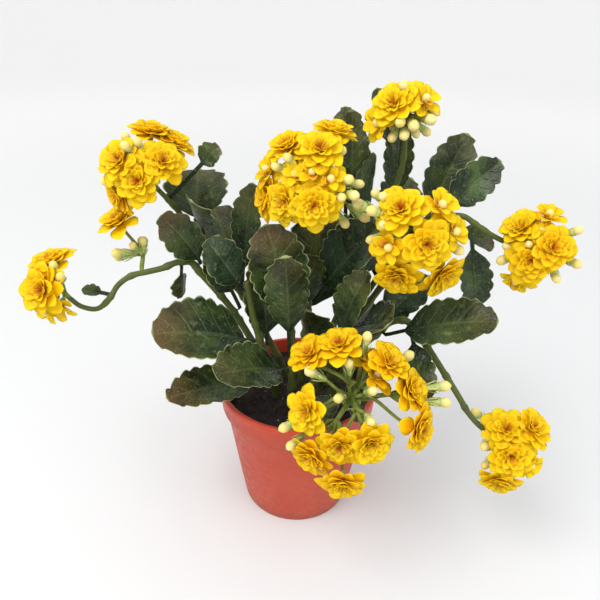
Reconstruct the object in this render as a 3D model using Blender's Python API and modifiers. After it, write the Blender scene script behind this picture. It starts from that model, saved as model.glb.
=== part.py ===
"""Potted kalanchoe: a plastic nursery pot of soil with leafy stems and sprays of double yellow flowers.

The origin is the centre of the pot's underside, +Z is up and -Y is the front. Sizes below are in
millimetres and angles in degrees; MM turns the sizes into Blender's metres. Azimuths are measured
from +X towards +Y, and rises are measured up from level.
"""

import math

import bmesh
import bpy
from mathutils import Matrix, Vector

MM = 0.001
GAP = 0.3  # clearance between neighbouring pieces

# Pot
RIM_RADIUS = 52.5
RIM_BORE = 49.6
POT_HEIGHT = 93.8
COLLAR_HEIGHT = 15.7
COLLAR_FOOT_RADIUS = 51.1
BODY_TOP_RADIUS = 48.6
BASE_RADIUS = 37.0
POT_WALL = 1.5
BASE_THICKNESS = 1.8
POT_STEPS = 36
DRAIN_HOLES = 6
DRAIN_RADIUS = 4.0
DRAIN_STEPS = 12
DRAIN_CIRCLE = 24.0

# Soil
SOIL_EDGE_LEVEL = 83.0
SOIL_CROWN = 2.4  # how much higher the soil stands at its centre

# Leaves
LEAF_THICKNESS = 1.5
PETIOLE_WIDTH = 3.2
LEAF_CLEARANCE = 0.5  # further gap between a stem and a stalk that leaves it at a slant
LEAF_COLUMNS = 4
LEAF_CUP = 0.22  # rise of the blade's edges, as a share of its half width
# Distance along the blade and width there, as shares of the blade's length and full width
LEAF_OUTLINE = ((0.0, 0.14), (0.12, 0.6), (0.35, 0.97), (0.6, 1.0), (0.82, 0.78), (1.0, 0.3))

# Flower heads
HEAD_GAP = 1.0  # between a stem's tip and the spray on it
HUB_RADIUS = 2.4
CROWN_TUBE_RADIUS = 2.0
CROWN_SIDES = {"open": 8, "half": 6}
CROWN_RADIUS = {"open": 10.0, "half": 6.5}
CROWN_DEPTH = {"open": 5.0, "half": 6.5}
CROWN_INTO_STALK = 1.5  # how far a stalk runs into the flower on it
PEDICEL_RADIUS = 1.1
PEDICEL_SIDES = 5
STALK_SIDES = 7
BUD_RADIUS = 3.0

# Each stem's route from the soil to its tip, with its radius at the foot and at the tip
STEMS = {
    "stem_far_left": (3.0, 1.5, ((-15, 6, 87), (-25, 0, 112), (-42, -4, 148), (-58, -7, 172),
                                 (-67, -8, 183), (-76, -13, 181), (-88, -17, 179), (-98, -20, 177),
                                 (-105, -24, 172), (-108, -28, 167), (-114, -31, 162),
                                 (-121, -34, 164), (-127, -37, 172))),
    "stem_left": (2.8, 1.6, ((-8, 14, 87), (-22, 12, 120), (-42, 9, 160), (-60, 5, 190),
                             (-74, 2, 212), (-82, 1, 222))),
    "stem_centre": (3.0, 1.8, ((2, 6, 87), (4, 5, 130), (6, 0, 170), (8, -5, 200), (8, -8, 220))),
    "stem_top": (3.0, 1.6, ((12, 16, 87), (24, 18, 130), (40, 16, 175), (51, 10, 215), (55, 5, 240),
                            (54, 4, 256))),
    "stem_right": (2.8, 1.6, ((14, 0, 87), (20, -6, 120), (30, -14, 152), (37, -20, 168),
                              (47, -24, 190), (56, -29, 206))),
    "stem_far_right": (3.0, 1.6, ((20, 8, 87), (36, 12, 130), (58, 12, 170), (75, 6, 198),
                                  (84, 0, 211), (92, -3, 212), (101, -8, 207), (112, -12, 202),
                                  (122, -15, 200))),
    "stem_front": (3.0, 1.9, ((6, -14, 87), (12, -24, 115), (22, -36, 140), (29, -44, 145),
                              (34, -50, 141), (33, -55, 134))),
    "stem_low_right": (3.0, 1.7, ((20, -10, 87), (36, -14, 125), (54, -18, 150), (62, -20, 153),
                                  (70, -25, 147), (90, -42, 122), (101, -50, 107), (112, -54, 98),
                                  (120, -53, 93))),
    "shoot_left": (3.0, 2.0, ((-14, -8, 87), (-20, -12, 115), (-27, -15, 145), (-32, -12, 172))),
    "shoot_front": (3.0, 2.0, ((-4, -16, 87), (-4, -22, 112), (-4, -24, 135), (-6, -22, 158))),
}
STEM_STEP = 9.0  # length of one straight piece of a stem

# Each leaf: stem, station along it from 0 to 1, azimuth, rise, length, blade width,
# share of the length that is petiole, droop from base to tip, roll about the midrib
LEAVES = {
    "leaf_01": ("stem_left", 0.95, 10, 45, 40, 14, 0.65, 0, 60),
    "leaf_02": ("stem_far_left", 0.55, -172, 55, 37, 23, 0.1, 20, -65),
    "leaf_03": ("stem_left", 0.80, 95, 40, 40, 38, 0.15, 20, 0),
    "leaf_04": ("stem_left", 0.76, -100, 58, 33, 22, 0.25, 20, -30),
    "leaf_05": ("stem_far_left", 0.60, 120, -75, 25, 14, 0.25, 10, -30),
    "leaf_06": ("stem_far_left", 0.85, 170, 5, 15, 8, 0.2, 0, -30),
    "leaf_07": ("stem_far_left", 0.35, -165, 65, 46, 24, 0.3, 10, -60),
    "leaf_08": ("stem_left", 0.50, 50, 80, 64, 20, 0.3, 10, 20),
    "leaf_09": ("shoot_left", 0.95, -170, 60, 38, 24, 0.15, 10, -60),
    "leaf_10": ("shoot_front", 0.95, 150, 75, 58, 34, 0.15, 15, -45),
    "leaf_11": ("shoot_front", 0.58, -100, 77, 78, 25, 0.3, 10, 15),
    "leaf_12": ("stem_centre", 0.42, -95, 74, 50, 30, 0.15, 10, 10),
    "leaf_13": ("stem_left", 0.45, 120, 40, 66, 42, 0.2, 25, 0),
    "leaf_14": ("shoot_left", 0.55, -160, 15, 62, 44, 0.1, 20, -25),
    "leaf_15": ("shoot_front", 0.45, -140, 20, 54, 33, 0.1, 20, -25),
    "leaf_16": ("shoot_left", 0.20, -145, 10, 68, 29, 0.15, 15, -20),
    "leaf_17": ("stem_top", 0.88, 155, 70, 44, 21, 0.35, 0, -25),
    "leaf_18": ("stem_top", 0.40, 100, 75, 110, 16, 0.75, 0, -20),
    "leaf_19": ("stem_top", 0.45, 105, 80, 100, 22, 0.4, 0, -15),
    "leaf_20": ("stem_top", 0.50, 0, 85, 70, 17, 0.35, 0, 30),
    "leaf_21": ("stem_far_right", 0.50, 90, 80, 88, 18, 0.5, 0, 0),
    "leaf_22": ("stem_far_right", 0.65, 30, 65, 62, 26, 0.25, 10, 50),
    "leaf_23": ("stem_far_right", 0.75, 0, 50, 41, 22, 0.15, 15, 65),
    "leaf_24": ("stem_top", 0.65, 55, 30, 44, 28, 0.2, 15, 30),
    "leaf_25": ("stem_far_right", 0.75, 10, -30, 36, 14, 0.3, 0, 50),
    "leaf_26": ("stem_far_right", 0.85, -45, -75, 48, 20, 0.25, 0, 40),
    "leaf_27": ("stem_low_right", 0.38, -30, 25, 68, 30, 0.2, 15, 35),
    "leaf_28": ("stem_low_right", 0.35, 25, 40, 46, 26, 0.2, 15, 20),
    "leaf_29": ("stem_right", 0.45, -60, 32, 46, 36, 0.15, 15, 25),
    "leaf_30": ("stem_low_right", 0.52, -82, -33, 42, 18, 0.15, 0, 15),
    "leaf_31": ("stem_front", 0.30, -15, 70, 78, 24, 0.45, 0, 50),
    "leaf_32": ("stem_centre", 0.30, 60, 80, 80, 44, 0.2, 0, 35),
    "leaf_33": ("stem_centre", 0.50, -10, 55, 62, 38, 0.2, 15, 40),
    "leaf_34": ("stem_right", 0.20, -125, 68, 48, 29, 0.2, 15, 0),
    "leaf_35": ("stem_front", 0.70, -55, -60, 40, 12, 0.4, 0, 0),
    "leaf_36": ("shoot_front", 0.20, -65, 15, 46, 26, 0.3, 10, 0),
    "leaf_37": ("stem_top", 0.35, 60, 40, 66, 44, 0.2, 25, 0),
    "leaf_38": ("shoot_left", 0.45, 108, 71, 54, 30, 0.15, 15, 10),
    "leaf_39": ("stem_far_right", 0.35, 45, 30, 64, 42, 0.2, 25, 0),
}

# Where the stalk of a spray that has no stem of its own starts, beside the stem that it grew from
SIDE_SPRAYS = {"flowers_low_left": (-72, -5, 186)}

# Each head: its fork, then the azimuth, rise and reach of every flower and bud about that fork
HEADS = {
    "flowers_far_left": ((-128, -40, 182), {
        "open": ((150, 65, 14), (-115, 10, 14)),
        "half": ((-125, -45, 18), (-105, -65, 16)),
        "bud": ()}),
    "flowers_left": ((-87, 0, 232), {
        "open": ((65, 75, 24), (25, 45, 24), (-45, 30, 21), (-125, 30, 21), (-90, 5, 21), (-150, -30, 21)),
        "half": (),
        "bud": ((-150, 65, 21), (-90, 60, 21), (-150, -5, 21), (-110, 48, 23))}),
    "flowers_low_left": ((-93, -6, 185), {
        "open": ((180, 60, 25),),
        "half": (),
        "bud": ((-170, 5, 13), (175, -12, 14))}),
    "flowers_centre": ((8, -8, 231), {
        "open": ((35, 70, 30), (-170, 50, 28), (-90, 60, 26), (-170, -15, 30), (-135, -12, 26),
                 (-95, -10, 26)),
        "half": ((-173, 16, 30), (-100, 30, 24), (-125, 25, 24), (-75, 22, 24)),
        "bud": ((-140, 38, 26), (-155, 24, 26), (-55, 18, 26), (-65, 0, 26), (-54, 2, 29),
                (-20, -30, 30), (-45, -40, 26))}),
    "flowers_top": ((54, 4, 266), {
        "open": ((-135, 30, 15),),
        "half": ((-50, 40, 16), (-155, -10, 19)),
        "bud": ((-125, 65, 15), (-110, -5, 15), (-85, -10, 15), (-130, -40, 15), (-100, -30, 15),
                (-55, 0, 16))}),
    "flowers_right": ((59, -30, 215), {
        "open": ((-130, 40, 24), (-120, -50, 29), (-85, 0, 24), (-45, -45, 30)),
        "half": ((-55, 48, 24), (-130, -8, 26), (-45, 12, 25)),
        "bud": ((165, 35, 26), (-160, 42, 26), (-140, 16, 25), (-35, -14, 24), (175, 20, 31),
                (-150, 25, 31))}),
    "flowers_far_right": ((132, -16, 201), {
        "open": ((-165, 40, 19), (-90, 20, 19), (-120, -8, 19)),
        "half": ((-90, 80, 21), (-155, -60, 24)),
        "bud": ((-40, 38, 21), (-45, -10, 21), (-75, -30, 21), (-165, 4, 19), (-168, -20, 21))}),
    "flowers_front": ((30, -60, 128), {
        "open": ((180, 75, 35), (180, 47, 37), (-15, 55, 32), (-17, 20, 34), (-30, -8, 41), (-145, 5, 32),
                 (-75, -15, 32), (-105, -22, 32), (-135, -37, 41), (-100, -43, 48)),
        "half": ((5, 70, 26), (-25, 55, 23)),
        "bud": ((30, 80, 35), (-160, 40, 32), (-120, 72, 26), (15, 35, 36), (-7, 14, 48), (-13, 6, 48),
                (-120, 28, 20), (-160, -18, 40), (-150, -28, 42))}),
    "flowers_low_right": ((126, -52, 90), {
        "open": ((-140, 62, 17), (-25, 54, 19), (-105, 10, 17), (-115, -48, 25)),
        "half": ((-63, -8, 19),),
        "bud": ((-157, 8, 17), (-150, -33, 19), (150, 30, 24))}),
}


def clear_scene():
    for thing in list(bpy.data.objects):
        bpy.data.objects.remove(thing, do_unlink=True)


def new_collection(name):
    collection = bpy.data.collections.new(name)
    bpy.context.scene.collection.children.link(collection)
    return collection


def new_material(name, colour, roughness, metallic=0.0):
    material = bpy.data.materials.new(name)
    material.use_nodes = True
    shader = material.node_tree.nodes["Principled BSDF"]
    shader.inputs["Base Color"].default_value = (*colour, 1.0)
    shader.inputs["Roughness"].default_value = roughness
    shader.inputs["Metallic"].default_value = metallic
    return material


def new_object(name, data, collection, material=None):
    thing = bpy.data.objects.new(name, data)
    collection.objects.link(thing)
    if material is not None:
        data.materials.append(material)
    return thing


def mesh_from(shape, name):
    """Turn a finished bmesh, in millimetres, into a mesh in metres."""
    bmesh.ops.scale(shape, vec=(MM, MM, MM), verts=shape.verts)
    mesh = bpy.data.meshes.new(name)
    shape.to_mesh(mesh)
    shape.free()
    return mesh


def hidden_piece(shape, name, collection):
    """A piece that only shapes another one, kept out of renders."""
    piece = new_object(name, mesh_from(shape, name), collection)
    piece.hide_render = True
    piece.display_type = "WIRE"
    return piece


def direction(azimuth, rise):
    around, up = math.radians(azimuth), math.radians(rise)
    return Vector((math.cos(around) * math.cos(up), math.sin(around) * math.cos(up), math.sin(up)))


def turned(name, outline, collection, material):
    """Spin an outline of (radius, height) points about the Z axis."""
    shape = bmesh.new()
    points = [shape.verts.new((radius, 0.0, height)) for radius, height in outline]
    for first, second in zip(points, points[1:]):
        shape.edges.new((first, second))
    thing = new_object(name, mesh_from(shape, name), collection, material)
    screw = thing.modifiers.new("turn", "SCREW")
    screw.steps = screw.render_steps = POT_STEPS
    screw.use_merge_vertices = True
    screw.merge_threshold = 0.0001
    screw.use_smooth_shade = True
    return thing


def bore_at(height):
    """Inner radius of the pot at a height."""
    if height >= POT_HEIGHT - COLLAR_HEIGHT:
        return RIM_BORE
    share = height / (POT_HEIGHT - COLLAR_HEIGHT)
    return BASE_RADIUS - POT_WALL + share * (BODY_TOP_RADIUS - BASE_RADIUS)


def build_pot(collection, cutters):
    collar_foot = POT_HEIGHT - COLLAR_HEIGHT
    outline = (
        (0.0, BASE_THICKNESS),
        (bore_at(BASE_THICKNESS), BASE_THICKNESS),
        (bore_at(collar_foot - POT_WALL), collar_foot - POT_WALL),
        (RIM_BORE, collar_foot),
        (RIM_BORE, POT_HEIGHT - 0.8),
        (RIM_BORE + 0.7, POT_HEIGHT),
        (RIM_RADIUS - 0.7, POT_HEIGHT),
        (RIM_RADIUS, POT_HEIGHT - 0.8),
        (RIM_RADIUS, POT_HEIGHT - 3.0),
        (RIM_RADIUS - 0.5, POT_HEIGHT - 4.0),
        (COLLAR_FOOT_RADIUS, collar_foot),
        (BODY_TOP_RADIUS, collar_foot - 0.4),
        (BASE_RADIUS, 1.2),
        (BASE_RADIUS - 1.0, 0.0),
        (0.0, 0.0),
    )
    colour = new_material("terracotta_plastic", (0.50, 0.085, 0.045), 0.5)
    pot = turned("pot", outline, collection, colour)
    for hole in range(DRAIN_HOLES):
        shape = bmesh.new()
        bmesh.ops.create_cone(shape, cap_ends=True, segments=DRAIN_STEPS, radius1=DRAIN_RADIUS,
                              radius2=DRAIN_RADIUS, depth=4.0 * BASE_THICKNESS)
        place = DRAIN_CIRCLE * direction(hole * 360.0 / DRAIN_HOLES, 0.0)
        bmesh.ops.translate(shape, vec=place, verts=shape.verts)
        name = f"drain_cutter_{hole}"
        cutter = hidden_piece(shape, name, cutters)
        cut = pot.modifiers.new(name, "BOOLEAN")
        cut.operation = "DIFFERENCE"
        cut.solver = "EXACT"
        cut.object = cutter


def build_soil(collection):
    collar_foot = POT_HEIGHT - COLLAR_HEIGHT
    bottom = BASE_THICKNESS + GAP
    outline = (
        (0.0, SOIL_EDGE_LEVEL + SOIL_CROWN),
        (18.0, SOIL_EDGE_LEVEL + 0.85 * SOIL_CROWN),
        (34.0, SOIL_EDGE_LEVEL + 0.4 * SOIL_CROWN),
        (RIM_BORE - GAP, SOIL_EDGE_LEVEL),
        (RIM_BORE - GAP, collar_foot + GAP),
        (bore_at(collar_foot - POT_WALL) - GAP, collar_foot - POT_WALL),
        (bore_at(bottom) - GAP, bottom),
        (0.0, bottom),
    )
    turned("soil", outline, collection, new_material("potting_soil", (0.018, 0.012, 0.010), 0.95))


def smooth_route(route):
    """Points at even steps along a smooth curve through the route's own points."""
    corners = [Vector(point) for point in route]
    corners = [2 * corners[0] - corners[1], *corners, 2 * corners[-1] - corners[-2]]
    fine = []
    for a, b, c, d in zip(corners, corners[1:], corners[2:], corners[3:]):
        for step in range(8):
            t = step / 8
            fine.append(0.5 * (2 * b + (c - a) * t + (2 * a - 5 * b + 4 * c - d) * t * t
                               + (3 * b - a - 3 * c + d) * t ** 3))
    fine.append(corners[-2])
    reach = [0.0]
    for first, second in zip(fine, fine[1:]):
        reach.append(reach[-1] + (second - first).length)
    pieces = max(2, round(reach[-1] / STEM_STEP))
    even, at = [], 0
    for piece in range(pieces + 1):
        wanted = reach[-1] * piece / pieces
        while at < len(fine) - 2 and reach[at + 1] < wanted:
            at += 1
        share = (wanted - reach[at]) / (reach[at + 1] - reach[at])
        even.append(fine[at].lerp(fine[at + 1], min(1.0, share)))
    return even


def on_stem(stem, station):
    """The point, direction and radius of a stem at a station from 0, its foot, to 1, its tip."""
    foot_radius, tip_radius, route = STEMS[stem]
    points = smooth_route(route)
    place = station * (len(points) - 1)
    index = min(int(place), len(points) - 2)
    along = points[index + 1] - points[index]
    radius = foot_radius + (tip_radius - foot_radius) * station
    return points[index] + along * (place - index), along.normalized(), radius


def build_stem(name, collection, material):
    foot_radius, tip_radius, route = STEMS[name]
    points = smooth_route(route)
    curve = bpy.data.curves.new(name, "CURVE")
    curve.dimensions = "3D"
    curve.bevel_depth = MM
    curve.bevel_resolution = 1
    curve.use_fill_caps = True
    spline = curve.splines.new("POLY")
    spline.points.add(len(points) - 1)
    for index, (point, knot) in enumerate(zip(points, spline.points)):
        knot.co = (*(point * MM), 1.0)
        knot.radius = foot_radius + (tip_radius - foot_radius) * index / (len(points) - 1)
    new_object(name, curve, collection, material)


def leaf_rows(length, petiole):
    """Distances along a leaf and the share of its blade's width at each."""
    rows = [(0.0, 0.0)]
    blade = length * (1.0 - petiole)
    rows.extend((length - blade + at * blade, share) for at, share in LEAF_OUTLINE)
    return rows


def build_leaf(name, collection, material):
    stem, station, azimuth, rise, length, width, petiole, droop, roll = LEAVES[name]
    point, along, radius = on_stem(stem, station)
    heading = direction(azimuth, rise + 0.5 * droop)
    aside = heading - along * heading.dot(along)
    clear = radius + GAP + 0.5 * PETIOLE_WIDTH * abs(heading.dot(along)) + LEAF_CLEARANCE
    place = point + aside.normalized() * clear
    level = Vector((-math.sin(math.radians(azimuth)), math.cos(math.radians(azimuth)), 0.0))
    shape = bmesh.new()
    grid, walked = [], 0.0
    for distance, share in leaf_rows(length, petiole):
        middle = 0.5 * (walked + distance) / length
        place = place + direction(azimuth, rise + droop * (0.5 - middle)) * (distance - walked)
        walked = distance
        heading = direction(azimuth, rise + droop * (0.5 - distance / length))
        turn = Matrix.Rotation(math.radians(roll), 3, heading)
        across, upward = turn @ level, turn @ heading.cross(level)
        half = 0.5 * max(PETIOLE_WIDTH, width * share)
        cup = LEAF_CUP * half * min(1.0, share * 2.0)
        row = []
        for column in range(LEAF_COLUMNS + 1):
            side = 2.0 * column / LEAF_COLUMNS - 1.0
            row.append(shape.verts.new(place + across * half * side + upward * cup * side * side))
        grid.append(row)
    for near, far in zip(grid, grid[1:]):
        for column in range(LEAF_COLUMNS):
            shape.faces.new((near[column], near[column + 1], far[column + 1], far[column]))
    leaf = new_object(name, mesh_from(shape, name), collection, material)
    leaf.data.shade_smooth()
    thickness = leaf.modifiers.new("thickness", "SOLIDIFY")
    thickness.thickness = LEAF_THICKNESS * MM
    thickness.offset = 0.0


def rod_shape(start, end, radius_start, radius_end, sides):
    """A straight round piece from start to end whose two caps are fans about their centres."""
    span = end - start
    shape = bmesh.new()
    bmesh.ops.create_cone(shape, cap_ends=True, cap_tris=True, segments=sides, radius1=radius_start,
                          radius2=radius_end, depth=span.length)
    turn = span.to_track_quat("Z", "Y").to_matrix()
    bmesh.ops.rotate(shape, cent=(0, 0, 0), matrix=turn, verts=shape.verts)
    bmesh.ops.translate(shape, vec=0.5 * (start + end), verts=shape.verts)
    return shape


def ball_shape(centre, radius):
    shape = bmesh.new()
    bmesh.ops.create_icosphere(shape, subdivisions=1, radius=radius)
    bmesh.ops.translate(shape, vec=centre, verts=shape.verts)
    return shape


def build_head(name, collection, cutters, material):
    """One spray: a hub at the fork, with a stalk and a flower or bud in each direction."""
    fork, blooms = HEADS[name]
    fork = Vector(fork)
    if name in SIDE_SPRAYS:
        start, stalk_radius = Vector(SIDE_SPRAYS[name]), PEDICEL_RADIUS
    else:
        tip, along, stalk_radius = on_stem(name.replace("flowers", "stem"), 1.0)
        start = tip + along * HEAD_GAP
    shape = rod_shape(start, fork, stalk_radius, stalk_radius, STALK_SIDES)
    head = new_object(name, mesh_from(shape, name), collection, material)
    joined = bpy.data.collections.new(f"{name}_pieces")
    cutters.children.link(joined)
    hidden_piece(ball_shape(fork, HUB_RADIUS), f"{name}_hub", joined)
    for kind, places in blooms.items():
        for index, (azimuth, rise, reach) in enumerate(places):
            outward = direction(azimuth, rise)
            label = f"{name}_{kind}_{index}"
            if kind == "bud":
                centre = fork + outward * reach
                hidden_piece(ball_shape(centre, BUD_RADIUS), label, joined)
            else:
                face = fork + outward * reach
                centre = face - outward * (CROWN_DEPTH[kind] - CROWN_INTO_STALK)
                neck = face - outward * CROWN_DEPTH[kind]
                crown = rod_shape(neck, face, CROWN_TUBE_RADIUS, CROWN_RADIUS[kind], CROWN_SIDES[kind])
                hidden_piece(crown, label, joined)
            stalk = rod_shape(fork, centre, PEDICEL_RADIUS, PEDICEL_RADIUS, PEDICEL_SIDES)
            hidden_piece(stalk, f"{label}_stalk", joined)
    join = head.modifiers.new("join", "BOOLEAN")
    join.operation = "UNION"
    join.solver = "EXACT"
    join.operand_type = "COLLECTION"
    join.collection = joined


def main():
    clear_scene()
    collection = new_collection("potted_kalanchoe")
    cutters = new_collection("cutters")
    build_pot(collection, cutters)
    build_soil(collection)
    for name in STEMS:
        build_stem(name, collection, new_material(f"{name}_green", (0.10, 0.17, 0.035), 0.5))
    for name in LEAVES:
        build_leaf(name, collection, new_material(f"{name}_green", (0.025, 0.075, 0.022), 0.45))
    for name in HEADS:
        build_head(name, collection, cutters, new_material(f"{name}_yellow", (0.95, 0.62, 0.01), 0.55))


main()
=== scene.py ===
"""Potted kalanchoe with double yellow flowers, dressed over its CAD frame.

Lengths are in metres and angles in radians unless a name says otherwise. The pot stands on the
origin, +Z is up and -Y is the front.
"""

import math

import bmesh
import bpy
import numpy as np
from bpy.props import FloatProperty, FloatVectorProperty, IntProperty, PointerProperty
from bpy.types import Operator, Panel, PropertyGroup
from mathutils import Matrix, Vector


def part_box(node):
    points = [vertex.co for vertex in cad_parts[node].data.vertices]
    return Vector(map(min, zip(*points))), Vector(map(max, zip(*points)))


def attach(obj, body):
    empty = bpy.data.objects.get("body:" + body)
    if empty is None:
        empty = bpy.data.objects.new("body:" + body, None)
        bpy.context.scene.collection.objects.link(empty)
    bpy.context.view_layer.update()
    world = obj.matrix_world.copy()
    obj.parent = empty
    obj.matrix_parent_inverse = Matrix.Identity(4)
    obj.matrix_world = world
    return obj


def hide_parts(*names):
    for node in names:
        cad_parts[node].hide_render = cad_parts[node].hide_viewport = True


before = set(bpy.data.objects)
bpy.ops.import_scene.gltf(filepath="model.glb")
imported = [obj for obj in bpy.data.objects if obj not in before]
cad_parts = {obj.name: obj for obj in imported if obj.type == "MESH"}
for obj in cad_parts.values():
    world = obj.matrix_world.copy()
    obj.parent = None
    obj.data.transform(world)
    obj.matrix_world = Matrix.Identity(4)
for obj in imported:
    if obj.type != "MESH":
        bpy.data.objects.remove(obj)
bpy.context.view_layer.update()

bl_info = {
    "name": "Potted Kalanchoe",
    "version": (1, 0, 0),
    "blender": (4, 5, 0),
    "location": "3D View > Sidebar > Kalanchoe",
    "description": "Dresses the CAD frame of a potted kalanchoe with its pot, soil, leaves and flowers",
    "category": "Object",
}

POT_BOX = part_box("pot")
SOIL_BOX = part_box("soil")
MM = 0.001
GOLDEN_ANGLE = math.radians(137.508)
TO_LIGHT = Vector((0.0, -0.62, 0.78))  # the way to the window that the plant grew by
STEM_NODES = sorted(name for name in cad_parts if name.startswith(("stem_", "shoot_")))
LEAF_NODES = sorted(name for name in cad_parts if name.startswith("leaf_"))

# Leaves that are greyish blue, leaves that are dry and brown at the tip, and young pale ones
BLUE_LEAVES = ("leaf_09", "leaf_20", "leaf_28", "leaf_33")
BROWN_LEAVES = ("leaf_02", "leaf_05", "leaf_10", "leaf_14", "leaf_16", "leaf_25", "leaf_30")
YOUNG_LEAVES = ("leaf_06", "leaf_17", "leaf_23", "leaf_26")

# The CAD model's sprays, in millimetres and degrees: the fork, then the azimuth, rise and reach of
# every flower and bud about it. Azimuths run from +X towards +Y.
SPRAYS = {
    "flowers_far_left": ((-128, -40, 182), {
        "open": ((150, 65, 14), (-115, 10, 14)),
        "half": ((-125, -45, 18), (-105, -65, 16)),
        "bud": ()}),
    "flowers_left": ((-87, 0, 232), {
        "open": ((65, 75, 24), (25, 45, 24), (-45, 30, 21), (-125, 30, 21), (-90, 5, 21), (-150, -30, 21)),
        "half": (),
        "bud": ((-150, 65, 21), (-90, 60, 21), (-150, -5, 21), (-110, 48, 23))}),
    "flowers_low_left": ((-93, -6, 185), {
        "open": ((180, 60, 25),),
        "half": (),
        "bud": ((-170, 5, 13), (175, -12, 14))}),
    "flowers_centre": ((8, -8, 231), {
        "open": ((35, 70, 30), (-170, 50, 28), (-90, 60, 26), (-170, -15, 30), (-135, -12, 26),
                 (-95, -10, 26)),
        "half": ((-173, 16, 30), (-100, 30, 24), (-125, 25, 24), (-75, 22, 24)),
        "bud": ((-140, 38, 26), (-155, 24, 26), (-55, 18, 26), (-65, 0, 26), (-54, 2, 29),
                (-20, -30, 30), (-45, -40, 26))}),
    "flowers_top": ((54, 4, 266), {
        "open": ((-135, 30, 15),),
        "half": ((-50, 40, 16), (-155, -10, 19)),
        "bud": ((-125, 65, 15), (-110, -5, 15), (-85, -10, 15), (-130, -40, 15), (-100, -30, 15),
                (-55, 0, 16))}),
    "flowers_right": ((59, -30, 215), {
        "open": ((-130, 40, 24), (-120, -50, 29), (-85, 0, 24), (-45, -45, 30)),
        "half": ((-55, 48, 24), (-130, -8, 26), (-45, 12, 25)),
        "bud": ((165, 35, 26), (-160, 42, 26), (-140, 16, 25), (-35, -14, 24), (175, 20, 31),
                (-150, 25, 31))}),
    "flowers_far_right": ((132, -16, 201), {
        "open": ((-165, 40, 19), (-90, 20, 19), (-120, -8, 19)),
        "half": ((-90, 80, 21), (-155, -60, 24)),
        "bud": ((-40, 38, 21), (-45, -10, 21), (-75, -30, 21), (-165, 4, 19), (-168, -20, 21))}),
    "flowers_front": ((30, -60, 128), {
        "open": ((180, 75, 35), (180, 47, 37), (-15, 55, 32), (-17, 20, 34), (-30, -8, 41), (-145, 5, 32),
                 (-75, -15, 32), (-105, -22, 32), (-135, -37, 41), (-100, -43, 48)),
        "half": ((5, 70, 26), (-25, 55, 23)),
        "bud": ((30, 80, 35), (-160, 40, 32), (-120, 72, 26), (15, 35, 36), (-7, 14, 48), (-13, 6, 48),
                (-120, 28, 20), (-160, -18, 40), (-150, -28, 42))}),
    "flowers_low_right": ((126, -52, 90), {
        "open": ((-140, 62, 17), (-25, 54, 19), (-105, 10, 17), (-115, -48, 25)),
        "half": ((-63, -8, 19),),
        "bud": ((-157, 8, 17), (-150, -33, 19), (150, 30, 24))}),
}


def length(name, description, millimetres):
    return FloatProperty(name=name, description=description, default=millimetres * MM, unit="LENGTH",
                         precision=4)


def share(name, description, value):
    return FloatProperty(name=name, description=description, default=value, min=0.0, max=1.0,
                         subtype="FACTOR")


def angle(name, description, degrees):
    return FloatProperty(name=name, description=description, default=math.radians(degrees),
                         subtype="ANGLE")


def colour(name, description, red, green, blue):
    return FloatVectorProperty(name=name, description=description, default=(red, green, blue, 1.0),
                               size=4, min=0.0, max=1.0, subtype="COLOR")


class PotSizes(PropertyGroup):
    """Sizes and finish of the nursery pot."""
    rim_radius: length("Rim radius", "Outside radius of the rim", POT_BOX[1].x / MM)
    height: length("Height", "Height of the pot", POT_BOX[1].z / MM)
    collar: length("Collar", "Height of the collar below the rim", 15.7)
    base_radius: length("Base radius", "Radius of the flat underside's edge", 37.0)
    wall: length("Wall", "Thickness of the wall", 1.5)
    drain_radius: length("Drain hole", "Radius of each drain hole", 4.0)
    drain_circle: length("Drain circle", "Radius of the circle the drain holes lie on", 24.0)
    drain_holes: IntProperty(name="Drain holes", description="How many drain holes", default=6, min=3)
    steps: IntProperty(name="Steps", description="Straight steps round the pot", default=144, min=36)
    plastic: colour("Plastic", "Colour of the moulded plastic", 0.53, 0.050, 0.017)
    # The worn colour also paints the pot paler towards its foot, which is painted light.
    worn_and_lit: colour("Worn plastic", "Colour of the paler, scuffed plastic", 0.60, 0.085, 0.036)
    # The dust colour is also the painted shade below the rim's top edge.
    dust_and_shade: colour("Soil dust", "Colour of the dust left by splashed soil", 0.16, 0.085, 0.06)
    roughness: share("Roughness", "Roughness of clean plastic", 0.42)


class SoilSizes(PropertyGroup):
    """Sizes and colours of the potting mix."""
    clearance: length("Clearance", "Gap between the soil and the pot", 0.3)
    relief: length("Relief", "Depth of the lumps in the surface", 1.6)
    crumb: length("Crumb", "Size of the largest crumbs", 2.6)
    crumb_density: FloatProperty(name="Crumbs", description="Crumbs on each square metre",
                                 default=190000.0, min=0.0)
    grain_density: FloatProperty(name="Pale grains", description="Pale grains on each square metre",
                                 default=6000.0, min=0.0)
    damp: colour("Damp soil", "Colour of the damp mix", 0.012, 0.008, 0.008)
    dry: colour("Dry soil", "Colour of the drier crumbs", 0.060, 0.036, 0.030)
    grain: colour("Pale grains", "Colour of the pale mineral grains", 0.62, 0.58, 0.50)


class StemSizes(PropertyGroup):
    """Sizes and colours of the stems."""
    sides: IntProperty(name="Sides", description="Sides of each round stem", default=14, min=6)
    slimness: share("Slimness", "Radius of a stem against its CAD stem", 0.88)
    node_swell: share("Node swelling", "How much a stem swells at a node", 0.30)
    node_gap: length("Node gap", "Distance between the bare nodes of a stem", 21.0)
    node_length: length("Node length", "Half the length of a node's swelling", 1.7)
    near_stem: length("Leaf reach", "How near a leaf's foot lies to the stem it grows on", 5.0)
    into_soil: length("Into soil", "How deep a stem's foot stands in the soil", 4.0)
    green: colour("Green", "Colour of a young stem", 0.090, 0.118, 0.022)
    olive: colour("Olive", "Colour of an older stem", 0.032, 0.040, 0.016)
    scar: colour("Scar", "Colour of the corky scars", 0.20, 0.145, 0.075)


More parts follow.
